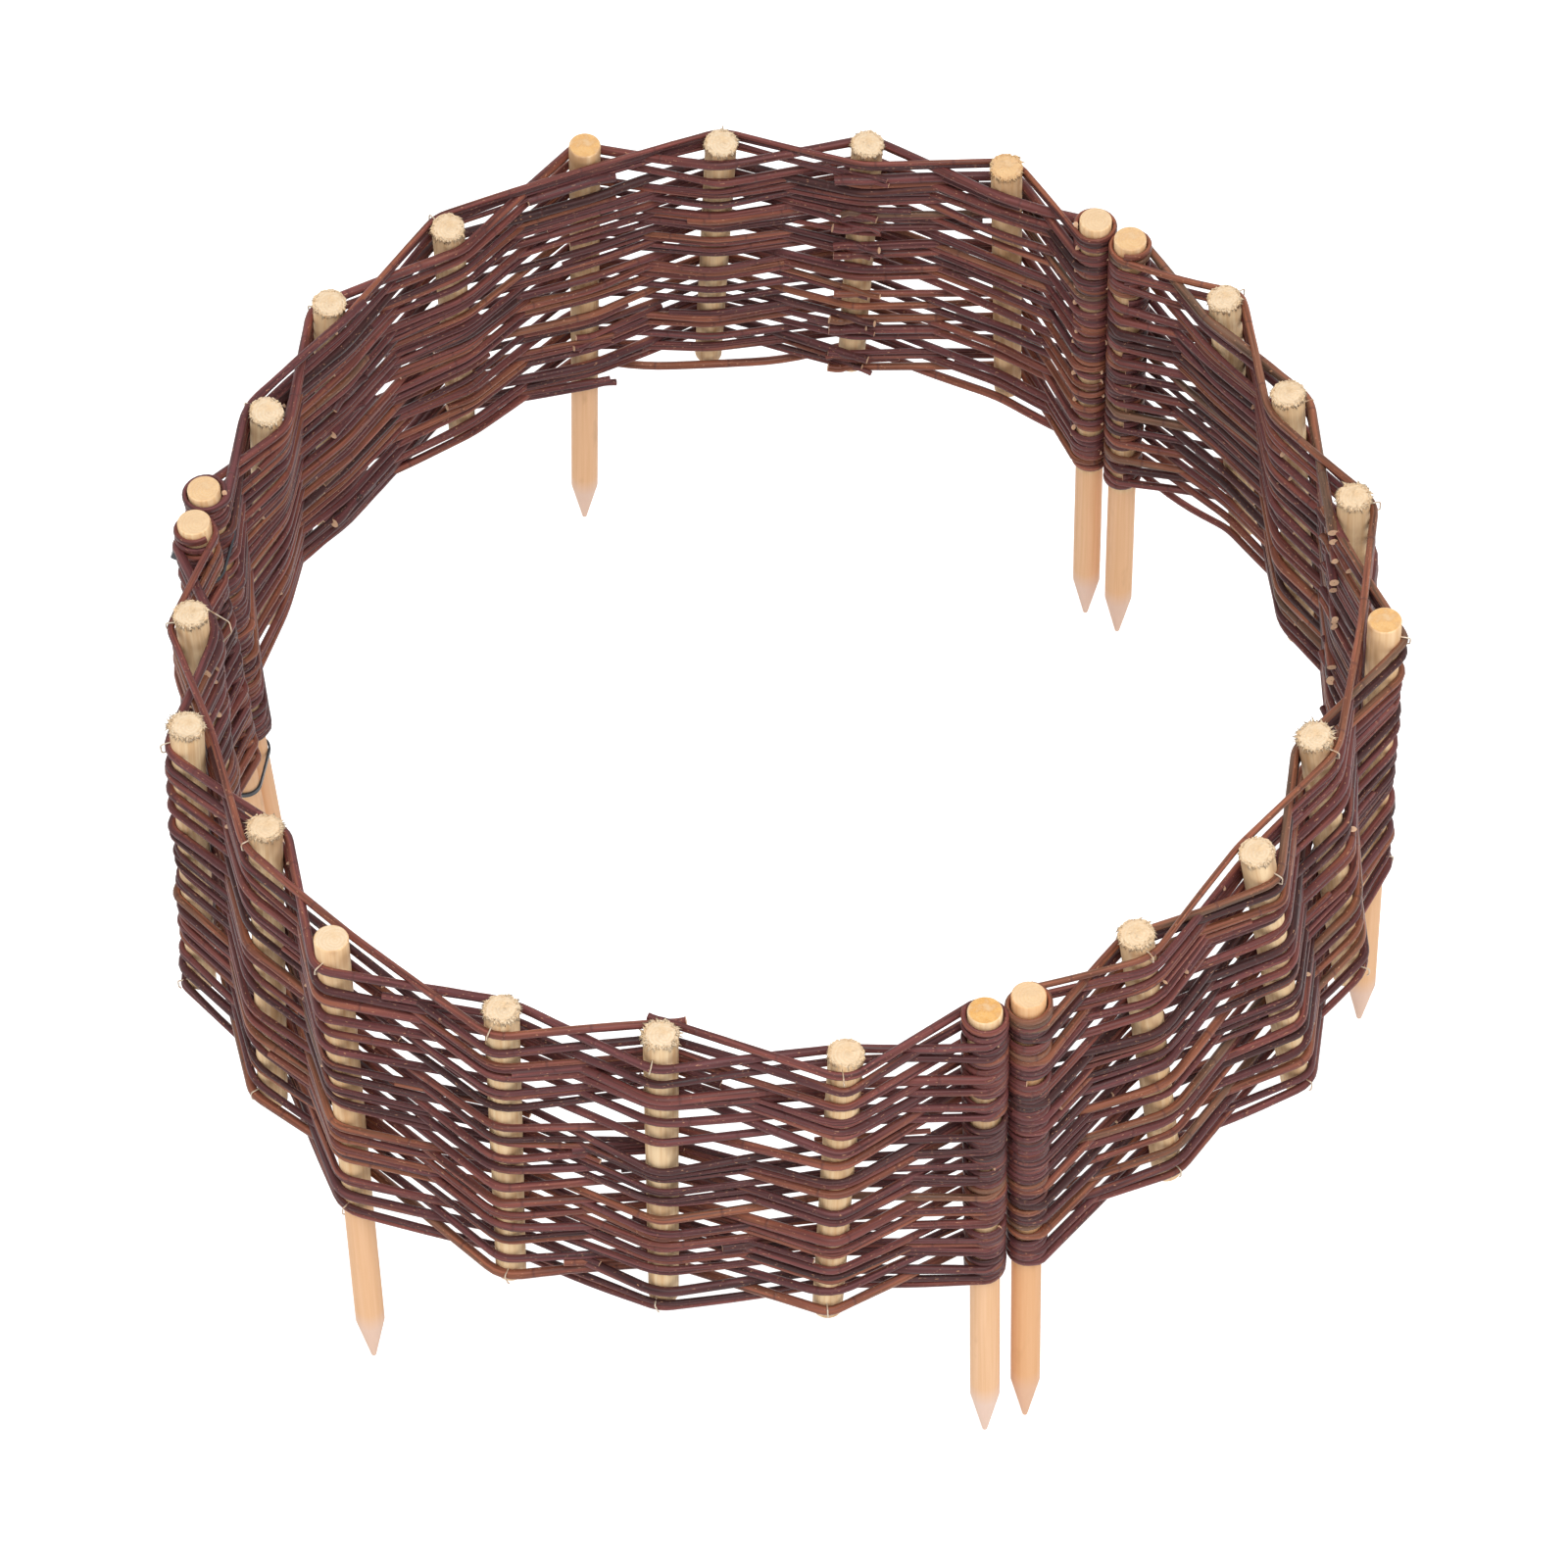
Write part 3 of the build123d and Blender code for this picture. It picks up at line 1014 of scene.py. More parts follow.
@dataclass
class WovenPanel:
    """The rods of one panel, course by course, along the lines of its stakes."""

    side: PanelSide
    lines: list[StakeLine]
    stakes: StakeSizes
    weave: WeaveSizes
    plan: PanelPlan
    seed: int
    chance: np.random.Generator = field(init=False)
    last: int = field(init=False)
    lift: Array = field(init=False)

    def __post_init__(self) -> None:
        """Draws the panel's unevenness from its seed.

        A course is lifted at a stake by the sum of a_k sin(2 pi course / c_k + phase_k),
        where the phases drift from stake to stake, so that rods close up in places. A
        parting adds opening / 2 tanh(d / edge) exp(-|d| / reach), d being the height over it.
        """
        weave = self.weave
        self.chance = np.random.default_rng(self.seed)
        self.last = len(self.lines) - 1
        course = np.arange(-SPARE_COURSES, weave.courses + SPARE_COURSES)[:, None]
        stakes = self.last + 1
        lift = self.chance.normal(0, weave.wander, (len(course), stakes))
        for reach, period in zip(weave.groups, weave.group_courses):
            phase = self.chance.uniform(0, weave.group_phase)
            drift = phase + np.cumsum(self.chance.normal(*weave.group_drift, stakes))
            lift += reach * np.sin(2 * np.pi * course / period + drift[None, :])
        lift[:, [0, self.last]] *= weave.end_lift
        level = weave.lowest + course[:, 0] * weave.pitch
        inner = level[SPARE_COURSES + 1], level[-SPARE_COURSES - 2]
        loose = [
            (
                int(self.chance.integers(0, stakes)),
                float(self.chance.uniform(*inner)),
                float(self.chance.uniform(*weave.loose_opening)),
            )
            for _ in range(weave.loose_partings)
        ]
        for stake, height, opening in (*self.plan.partings, *loose):
            over = level - height
            fade = np.exp(-np.abs(over) / weave.parting_reach)
            lift[:, stake] += opening / 2 * np.tanh(over / weave.parting_edge) * fade
        self.lift = lift

    def height(self, course: int, stake: int) -> float:
        """How high a course passes a stake: its own level and its unevenness there."""
        level = self.weave.lowest + course * self.weave.pitch
        return level + self.lift[course + SPARE_COURSES, stake]

    def outward(self, stake: int, height: float) -> Array:
        """The way out of the ring, square to the line between a stake's neighbours."""
        before = self.lines[max(stake - 1, 0)].at(height)
        after = self.lines[min(stake + 1, self.last)].at(height)
        return unit(plan_turn(after - before, -np.pi / 2))

    def beside_stake(self, course: int, stake: int, outside: bool, radius: float) -> Array:
        """The corner of a rod where it passes a stake.

        Args:
            course: the rod's course.
            stake: the stake.
            outside: whether it passes on the stake's outer side.
            radius: the rod's radius.

        Returns:
            The corner.
        """
        height = self.height(course, stake)
        stand_off = self.stakes.radius(height) + radius + self.weave.bend_room
        way = self.outward(stake, height) * (1 if outside else -1)
        return np.append(self.lines[stake].at(height) + way * stand_off, height)

    def passes(self, run: RodRun, radius: float) -> Array:
        """The corners of a rod where it passes the stakes between the two end ones.

        Args:
            run: the rod's run.
            radius: its radius.

        Returns:
            (n, 3) corners, in anticlockwise order.
        """
        stakes = range(max(run.first, 1), min(run.final, self.last - 1) + 1)
        sides = [(stake, (run.course + stake) % 2 == 0) for stake in stakes]
        return np.array([self.beside_stake(run.course, stake, side, radius) for stake, side in sides])

    def winding(
        self, course: int, at_start: bool, neighbour: Array, radius: float
    ) -> tuple[Array, Array]:
        """The turns of a course round an end stake, from its tangent point to its tail.

        The bearing goes evenly round the stake while the height climbs two thirds of a
        pitch a turn, so that the turns of two courses share out the stake's height.

        Args:
            course: the course's number.
            at_start: whether it is the panel's first stake rather than its last.
            neighbour: the plan point that the rod comes from.
            radius: the rod's radius.

        Returns:
            (n, 3) points from the tangent point on, and (n,) shares of flattening.
        """
        weave = self.weave
        stake = 0 if at_start else self.last
        height = self.height(course, stake)
        outside = (course + stake) % 2 == 0
        middle = self.lines[stake].at(height)
        hand = (-1 if at_start else 1) * (1 if outside else -1)
        run = neighbour - middle
        reach = self.stakes.radius(height) + radius
        opening = np.arccos(np.clip(reach / np.linalg.norm(run), -1, 1))
        start = np.arctan2(run[1], run[0]) + hand * opening
        total = np.radians(weave.outside_turn if outside else weave.inside_turn)
        total = total + np.radians(self.chance.uniform(*weave.uneven_turn))
        if self.chance.random() < weave.short_wraps:
            total -= np.radians(self.chance.uniform(*weave.short_turn))
        share = np.linspace(0, 1, int(total / weave.turn_step))
        bearing = start + hand * total * share
        climb = weave.climb * weave.pitch * total / (2 * np.pi)
        heights = height + climb * share
        flat = np.clip(share * total / weave.flattening_turn, 0, 1)
        flat = flat * flat * (3 - 2 * flat)
        pressed = weave.wrap_half_out * self.chance.uniform(*weave.wrap_uneven)
        half_out = radius + (pressed - radius) * flat
        spiral = self.stakes.radius(heights) + half_out + weave.wrap_gap * share
        ways = np.stack([np.cos(bearing), np.sin(bearing)], axis=-1)
        plan = self.lines[stake].at(heights) + spiral[:, None] * ways
        return np.column_stack([plan, heights]), flat

    def route(self, corners: Array, course: int) -> tuple[Array, Array]:
        """A rod's corners with a control point half way along each straight run.

        The added points wander up and down a little, and sag in the lowest course.

        Args:
            corners: (n, 3) corners of the rod.
            course: its course.

        Returns:
            (2n - 1, 3) control points and their trim lengths.
        """
        middles = (corners[:-1] + corners[1:]) / 2
        middles[:, 2] += self.chance.normal(0, self.weave.run_wander, len(middles))
        if course == 0:
            sag = self.chance.uniform(*self.weave.edge_sag, len(middles))
            middles[:, 2] -= sag * self.weave.most_sag
        points = np.empty((len(corners) + len(middles), 3))
        points[::2] = corners
        points[1::2] = middles
        trims = np.full(len(points), self.weave.run_trim)
        trims[::2] = self.weave.bend_trim * self.chance.uniform(*self.weave.uneven_bend, len(corners))
        return points, trims

    def rod(self, draft: MeshDraft, run: RodRun, radius: float, offset: float) -> None:
        """Adds one rod: woven between the stakes, and wound on or cut off at its ends.

        Args:
            draft: the piece that gets it.
            run: the rod's run.
            radius: the rod's radius.
            offset: how far above its course it lies.
        """
        weave = self.weave
        corners = self.passes(run, radius)
        heads: list[Array] = []
        flats: list[Array] = []
        for at_start, tail in ((True, run.first_tail), (False, run.final_tail)):
            near, far = (corners[0], corners[1]) if at_start else (corners[-1], corners[-2])
            if tail is RodTail.WOUND:
                turns, flat = self.winding(run.course, at_start, near[:2], radius)
            else:
                way = unit(near - far)
                reach = weave.cut_length * self.chance.uniform(*weave.uneven_cut)
                turns, flat = (near + way * reach)[None, :], np.zeros(1)
            heads.append(turns)
            flats.append(flat)
        points, trims = self.route(np.concatenate([heads[0][:1], corners, heads[1][:1]]), run.course)
        middle = rounded_route(points, trims, weave.bend_steps, weave.run_steps)
        centres = np.concatenate([heads[0][::-1], middle[1:-1], heads[1]]) + UP * offset
        flat = np.concatenate([flats[0][::-1], np.zeros(len(middle) - 2), flats[1]])
        own = radius * np.linspace(*weave.taper, len(centres))
        if run.course % 2:
            own = own[::-1]
        wave = np.cumsum(self.chance.normal(0, 1, len(centres)))
        wave = (wave - np.linspace(wave[0], wave[-1], len(wave))) * weave.knobbly
        own = own * (1 + np.clip(wave, -weave.most_knobbly, weave.most_knobbly))
        half_out = own * (1 - flat) + weave.wrap_half_out * flat
        half_up = own * (1 - flat) + weave.wrap_half_up * flat
        self.barked(draft, centres, half_out, half_up)

    def barked(self, draft: MeshDraft, centres: Array, half_out: Array, half_up: Array) -> None:
        """Adds a rod's surface, with a bark tone and pattern of its own.

        Args:
            draft: the piece that gets it.
            centres: (n, 3) points of its centre line.
            half_out: (n,) half thickness across the wall.
            half_up: (n,) half thickness up the wall.
        """
        tone = float(self.chance.beta(*self.weave.tone_shape))
        seed = float(self.chance.uniform(0, self.weave.seed_reach))
        tube(draft, centres, half_out, half_up, self.weave.sides, tone, seed, 1)

    def filler(self, draft: MeshDraft, course: int, stake: int, butt: bool = False) -> None:
        """Adds a short rod on the inner side of a stake, over one of its inner passes.

        Its line is the pass and a share of the way to the pass on either side, a long
        one and a short one, raised by about a pitch.

        Args:
            draft: the piece that gets it.
            course: the course under it.
            stake: the stake that it lies on.
            butt: whether it is a rod's thick end.
        """
        weave = self.weave
        radius = weave.butt_radius
        if not butt:
            radius = weave.rod_radius * self.chance.uniform(*weave.filler_radius)
        reach = [self.chance.uniform(*weave.filler_reach), self.chance.uniform(*weave.filler_stub)]
        if self.chance.random() < 0.5:
            reach = reach[::-1]
        around = (stake - 1, stake, stake + 1)
        corners = np.array([self.beside_stake(course, near, near != stake, radius) for near in around])
        line = corners[1] + (corners - corners[1]) * np.array([reach[0], 0.0, reach[1]])[:, None]
        line[:, 2] += weave.pitch * self.chance.uniform(*weave.filler_rise)
        line[:, 2] += self.chance.normal(0, weave.run_wander, 3)
        trims = np.full(3, weave.bend_trim)
        centres = rounded_route(line, trims, weave.bend_steps, weave.filler_steps)
        thick = radius * np.linspace(*weave.filler_taper, len(centres))
        self.barked(draft, centres, thick, thick)

    def runs(self, course: int) -> list[RodRun]:
        """The rods that a course is made of, from the panel's first stake to its last.

        Args:
            course: the course's number.

        Returns:
            One run, or several where the course changes rods behind a stake.
        """
        runs = []
        first, tail = 0, RodTail.WOUND
        for stake, likely in self.plan.splices.items():
            inside = (course + stake) % 2 == 1
            if inside and stake - first > 1 and self.chance.random() < likely:
                runs.append(RodRun(course, first, stake, tail, RodTail.CUT))
                first, tail = stake, RodTail.CUT
        runs.append(RodRun(course, first, self.last, tail, RodTail.WOUND))
        return runs

    def course_rods(self, draft: MeshDraft, course: int) -> None:
        """Adds the woven rods of one course, each a thick rod or a thin pair.

        Args:
            draft: the piece that gets them.
            course: the course's number.
        """
        weave = self.weave
        runs = self.runs(course)
        for order, run in enumerate(runs):
            thick = weave.rod_radius * self.chance.uniform(*weave.uneven_radius)
            offset = weave.beside * thick * (order - (len(runs) - 1) / 2)
            if self.chance.random() < weave.thin_share:
                thin = weave.thin_radius * self.chance.uniform(*weave.uneven_thin)
                self.rod(draft, run, thin, offset + thin)
                self.rod(draft, run, thin, offset - thin)
            else:
                self.rod(draft, run, thick, offset)

    def course_fillers(self, draft: MeshDraft, course: int) -> None:
        """Adds one course's fillers and butts, none of the fillers near the edges.

        Args:
            draft: the piece that gets them.
            course: the course's number.
        """
        covered = 0 < course < self.weave.courses - self.weave.bare_top
        for stake in range(1, self.last):
            inside = (course + stake) % 2 == 1
            if inside and covered and self.chance.random() < self.plan.fillers[stake]:
                self.filler(draft, course, stake)
            if (course, stake) in self.plan.butts:
                self.filler(draft, course, stake, butt=True)

    def strand(self, number: int, materials: list[bpy.types.Material]) -> bpy.types.Object:
        """Builds the rods of one strand of courses, in place of its node.

        Args:
            number: the strand's number from the bottom, starting at nought.
            materials: the bark and the cut ends.

        Returns:
            The new piece.
        """
        weave = self.weave
        draft = MeshDraft(f"{self.side.value}_willow_rods_{number + 1}")
        first = round(number * weave.courses / weave.strands)
        end = round((number + 1) * weave.courses / weave.strands)
        for course in range(first, end):
            self.course_rods(draft, course)
            self.course_fillers(draft, course)
        if number == 0:
            for run, rise in zip(self.plan.low_runs, weave.low_run_rises):
                self.rod(draft, run, weave.rod_radius, weave.pitch * rise)
        piece = draft.finish(materials)
        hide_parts(f"{self.side.value}_rods_{number + 1}")
        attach(piece, "root")
        return piece

    def build(self, materials: list[bpy.types.Material]) -> list[bpy.types.Object]:
        """Builds all the panel's strands.

        Args:
            materials: the bark and the cut ends.

        Returns:
            The new pieces.
        """
        return [self.strand(number, materials) for number in range(self.weave.strands)]


@dataclass
class TurnedStake:
    """One stake: a surface turned about its leaning line, with a sawn top.

    A short stake's top is frayed: its rim is torn and fibres hang from it.
    """

    node: str
    line: StakeLine
    sizes: StakeSizes
    long: bool
    tone: float
    warmth: float
    seed: int
    sides: int = 40
    cap_shares: tuple[float, ...] = (1.0, 0.9, 0.74, 0.5, 0.25)
    cap_rough: float = 0.24 * MM
    cap_dome: float = 0.8 * MM
    rim_torn: float = 1.15 * MM
    rim_uneven: float = 0.25
    short_rows: int = 34
    long_rows: int = 40
    tip_edge: Span = (0.4 * MM, 2.0 * MM)
    top_edge: tuple[Span, Span] = ((0.25, 0.35), (0.8, 0.0))
    smooth_cap_rough: float = 0.03 * MM
    heart_offset: Triple = (2.1 * MM, -1.3 * MM, 0.0)
    grain_reach: float = 0.4
    phase_reach: float = 6.0
    oval: float = 0.006
    waviness: float = 0.004
    wave_rate: float = 60.0
    fibres: int = 240
    fibre_length: Span = (1.0 * MM, 4.0 * MM)
    fibre_radius: Span = (0.20 * MM, 0.60 * MM)
    fibre_gathering: float = 0.01
    fibre_root: Span = (0.8, 1.0)
    fibre_depth: Span = (-0.2 * MM, 0.7 * MM)
    fibre_hang: Span = (0.2, 1.5)
    fibre_out: Span = (0.3, 1.0)
    fibre_rise: Span = (-0.8, 0.6)
    fibre_around: float = 0.45
    fibre_breadth: float = 2.0
    fibre_bearings: Triple = (0.0, 2.1, 4.2)
    chance: np.random.Generator = field(init=False)
    axes: Array = field(init=False)
    base: Array = field(init=False)

    def __post_init__(self) -> None:
        """Sets the stake's axes, and the place of its tip's middle so that the tip rests at 0."""
        self.chance = np.random.default_rng(self.seed)
        way = self.line.way
        across = unit(np.cross(way, AHEAD))
        self.axes = np.stack([across, np.cross(way, across), way])
        lift = self.sizes.tip_diameter / 2 * np.sqrt(1 - way[2] ** 2)
        self.base = np.append(self.line.at(lift), lift)

    def profile(self) -> tuple[Array, Array]:
        """The stake's outline: an even swell, with a point and a worn top on a long one.

        Returns:
            The heights, from the bottom up, and the radius at each.
        """
        sizes = self.sizes
        if not self.long:
            height = np.linspace(sizes.length - sizes.short_length, sizes.length, self.short_rows)
            return height, sizes.radius(height)
        body = np.linspace(sizes.tip_length, sizes.length - sizes.top_round, self.long_rows)
        edge_in, edge_down = np.array(self.top_edge).T * sizes.top_round
        tip_out, tip_up = self.tip_edge
        height = np.concatenate([[0.0, tip_up], body, sizes.length - edge_down])
        radius = sizes.radius(height)
        radius[:2] = sizes.tip_diameter / 2 + np.array([0.0, tip_out])
        radius[-2:] -= edge_in
        return height, radius

    def cap(
        self, draft: MeshDraft, rim: Array, rough: float, place: Array, slot: int, up: bool
    ) -> None:
        """Closes a stake's end with rings that shrink to its middle.

        A ring's points are the rim's times a share, moved along the stake by noise.

        Args:
            draft: the piece that gets it.
            rim: (sides, 3) points of the rim, across the stake and up it.
            rough: how rough the face is.
            place: what is added to the points for the finish.
            slot: the material slot.
            up: whether it faces up.
        """
        middle = np.append(np.zeros(2), rim[:, 2].mean())
        shares = np.array(self.cap_shares)[:, None, None]
        rings = middle + (rim - middle)[None] * shares
        dome = 0.0 if self.long or not up else self.cap_dome
        rings[1:, :, 2] = middle[2] + dome * (1 - shares[1:, :, 0] ** 2)
        rings[1:, :, 2] += self.chance.normal(0, 1, rings.shape[:2])[1:] * rough
        points = np.concatenate([rings.reshape(-1, 3), middle[None]])
        rows = len(self.cap_shares) - 1
        quads = ring_quads(rows, self.sides)
        fan = fan_triangles(rows * self.sides, self.sides, len(points) - 1)
        draft.add(
            self.base + points @ self.axes,
            points + place,
            self.tone,
            quads=quads if up else quads[:, ::-1],
            triangles=fan if up else fan[:, ::-1],
            slot=slot,
        )

    def fray(self, draft: MeshDraft, radius: float, place: Array) -> None:
        """Adds the fibres: thin cones from the rim, that point out, down and along it.

        Args:
            draft: the piece that gets them.
            radius: the rim's radius.
            place: what is added to the points for the finish.
        """
        count = self.fibres
        bearing = np.sort(self.chance.vonmises(0, self.fibre_gathering, count))
        out = np.stack([np.cos(bearing), np.sin(bearing), np.zeros(count)], -1)
        around = np.stack([-out[:, 1], out[:, 0], np.zeros(count)], -1)
        root = out * (radius * self.chance.uniform(*self.fibre_root, count))[:, None]
        root[:, 2] = self.sizes.length - self.chance.uniform(*self.fibre_depth, count)
        hang = self.chance.uniform(*self.fibre_hang)
        way = out * self.chance.uniform(*self.fibre_out, count)[:, None]
        way = way + UP * (self.chance.uniform(*self.fibre_rise, count) - hang)[:, None]
        way = unit(way + around * self.chance.normal(0, self.fibre_around, count)[:, None])
        length = self.chance.uniform(*self.fibre_length, count)[:, None]
        thick = self.chance.uniform(*self.fibre_radius, count)[:, None]
        first = unit(np.cross(way, UP + 0.01))
        second = np.cross(way, first)
        corners = [
            root + thick * (np.cos(turn) * first * self.fibre_breadth + np.sin(turn) * second)
            for turn in self.fibre_bearings
        ]
        points = np.stack([*corners, root + way * length], axis=1).reshape(-1, 3)
        start = np.arange(count)[:, None] * 4
        sides = [start + np.array([a, b, 3])[None] for a, b in ((0, 1), (1, 2), (2, 0))]
        triangles = np.concatenate([*sides, start + np.array([2, 1, 0])[None]])
        draft.add(self.base + points @ self.axes, points + place, self.tone, triangles=triangles, slot=1)

    def build(self, materials: list[bpy.types.Material]) -> bpy.types.Object:
        """Builds the stake in place of its node.

        Each ring is the line's point + radius (cos a, sin a) square to the line, where the
        radius follows the turned profile and is a little uneven.

        Args:
            materials: the peeled wood and the sawn top.

        Returns:
            The new piece.
        """
        height, radius = self.profile()
        angle = np.arange(self.sides) * 2 * np.pi / self.sides
        round_phase = self.chance.uniform(0, self.phase_reach)
        long_phase = self.chance.uniform(0, self.phase_reach)
        uneven = 1 + self.oval * np.sin(2 * angle + round_phase)[None, :]
        uneven = uneven + self.waviness * np.sin(height * self.wave_rate + long_phase)[:, None]
        own = radius[:, None] * uneven
        level = np.repeat(height[:, None], self.sides, axis=1)
        if not self.long:
            level[-1] -= self.chance.uniform(0, 1, self.sides) ** 2 * self.rim_torn
            own[-1] += self.chance.normal(0, self.rim_uneven, self.sides) * self.rim_torn
        local = np.stack([own * np.cos(angle), own * np.sin(angle), level], -1)
        points = local.reshape(-1, 3)
        place = np.append(self.chance.uniform(-self.grain_reach, self.grain_reach, 2), 0.0)
        draft = MeshDraft(f"{self.node}_wood")
        quads = ring_quads(len(height) - 1, self.sides)
        draft.add(self.base + points @ self.axes, points + place, self.warmth, quads=quads)
        off_heart = np.array(self.heart_offset)
        if self.long:
            self.cap(draft, local[0], 0.0, place, 0, False)
            self.cap(draft, local[-1], self.smooth_cap_rough, off_heart, 1, True)
        else:
            self.cap(draft, local[0], 0.0, off_heart, 1, False)
            self.cap(draft, local[-1], self.cap_rough, off_heart, 1, True)
            self.fray(draft, radius[-1], off_heart)
        piece = draft.finish(materials)
        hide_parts(self.node)
        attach(piece, "root")
        return piece


@dataclass(frozen=True)
class CableTie:
    """The upper cable tie: a flat band pulled tight round two end stakes, and its head."""

    node: str = "upper_cable_tie"
    height: float = 306.8 * MM
    tilt: float = 27.0
    width: float = 3.0 * MM
    thickness: float = 1.1 * MM
    clearance: float = 0.35 * MM
    head_size: Triple = (6.5 * MM, 4.4 * MM, 5.4 * MM)
    head_squareness: float = 0.28
    head_rows: int = 16
    head_columns: int = 32
    bend_steps: int = 24

    def band(self, spacing: float, reach: float) -> tuple[Array, Array]:
        """The band's surface, along two half circles joined by straight runs.

        Args:
            spacing: the distance between the two stakes.
            reach: the band's inner radius round each stake.

        Returns:
            (n, 3) points, four to a section of the band, and (f, 4) faces.
        """
        bend = np.linspace(-np.pi / 2, np.pi / 2, self.bend_steps)
        right = np.stack([spacing / 2 + 0 * bend, 0 * bend, np.cos(bend), np.sin(bend)], -1)
        line = np.concatenate([right, right * np.array([-1, 1, -1, -1])])
        rings = []
        for out, up in ((0, -1), (1, -1), (1, 1), (0, 1)):
            flat = line[:, :2] + line[:, 2:] * (reach + out * self.thickness)
            rings.append(np.column_stack([flat, np.full(len(flat), up * self.width / 2)]))
        here = np.arange(len(line))[:, None] * 4
        after = np.roll(here, -1, axis=0)
        side = np.arange(4)[None, :]
        onward = (side + 1) % 4
        quads = np.stack([here + side, after + side, after + onward, here + onward], -1)
        return np.stack(rings, axis=1).reshape(-1, 3), quads.reshape(-1, 4)

    def head(self) -> Array:
        """The head's surface about its own middle.

        Its points are a C(u) C(v), b C(u) S(v) and c S(u), where C and S are the cosine
        and sine raised to the squareness with their signs kept.

        Returns:
            (n, 3) points, row by row from the bottom.
        """
        v = np.linspace(-np.pi, np.pi, self.head_columns + 1)[None, :-1]
        u = np.linspace(-np.pi / 2, np.pi / 2, self.head_rows + 1)[:, None]
        cos_u, sin_u = (signed_power(wave(u), self.head_squareness) for wave in (np.cos, np.sin))
        cos_v, sin_v = (signed_power(wave(v), self.head_squareness) for wave in (np.cos, np.sin))
        a, b, c = np.array(self.head_size) / 2
        surface = [a * cos_u * cos_v, b * cos_u * sin_v, c * sin_u * np.ones_like(v)]
        return np.stack(surface, -1).reshape(-1, 3)

    def build(
        self, own: StakeLine, other: StakeLine, inner: float, material: bpy.types.Material
    ) -> bpy.types.Object:
        """Builds the tie in place of its node.

        Args:
            own: the line of the stake at which the head lies.
            other: the line of the neighbour's stake.
            inner: the radius that the band has to go round.
            material: the nylon.

        Returns:
            The new piece.
        """
        between = other.at(self.height) - own.at(self.height)
        facing = np.append(unit(between), 0.0)
        spacing = np.linalg.norm(between)
        upright = own.way - facing * (own.way @ facing)
        lean = np.radians(self.tilt)
        normal = unit(upright * np.cos(lean) + np.cross(facing, upright) * np.sin(lean))
        axes = np.stack([-facing, np.cross(normal, -facing), normal])
        base = np.append((own.at(self.height) + other.at(self.height)) / 2, self.height)
        reach = inner + self.clearance
        band, quads = self.band(spacing, reach)
        draft = MeshDraft(f"{self.node}_band")
        draft.add(base + band @ axes, band * 0.0, 0.0, quads=quads)
        head = self.head() + np.array([spacing / 2, -reach - self.head_size[1] / 2, 0.0])
        skin = ring_quads(self.head_rows, self.head_columns)
        draft.add(base + head @ axes, head * 0.0, 0.0, quads=skin)
        piece = draft.finish([material], smooth=False)
        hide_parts(self.node)
        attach(piece, "root")
        return piece


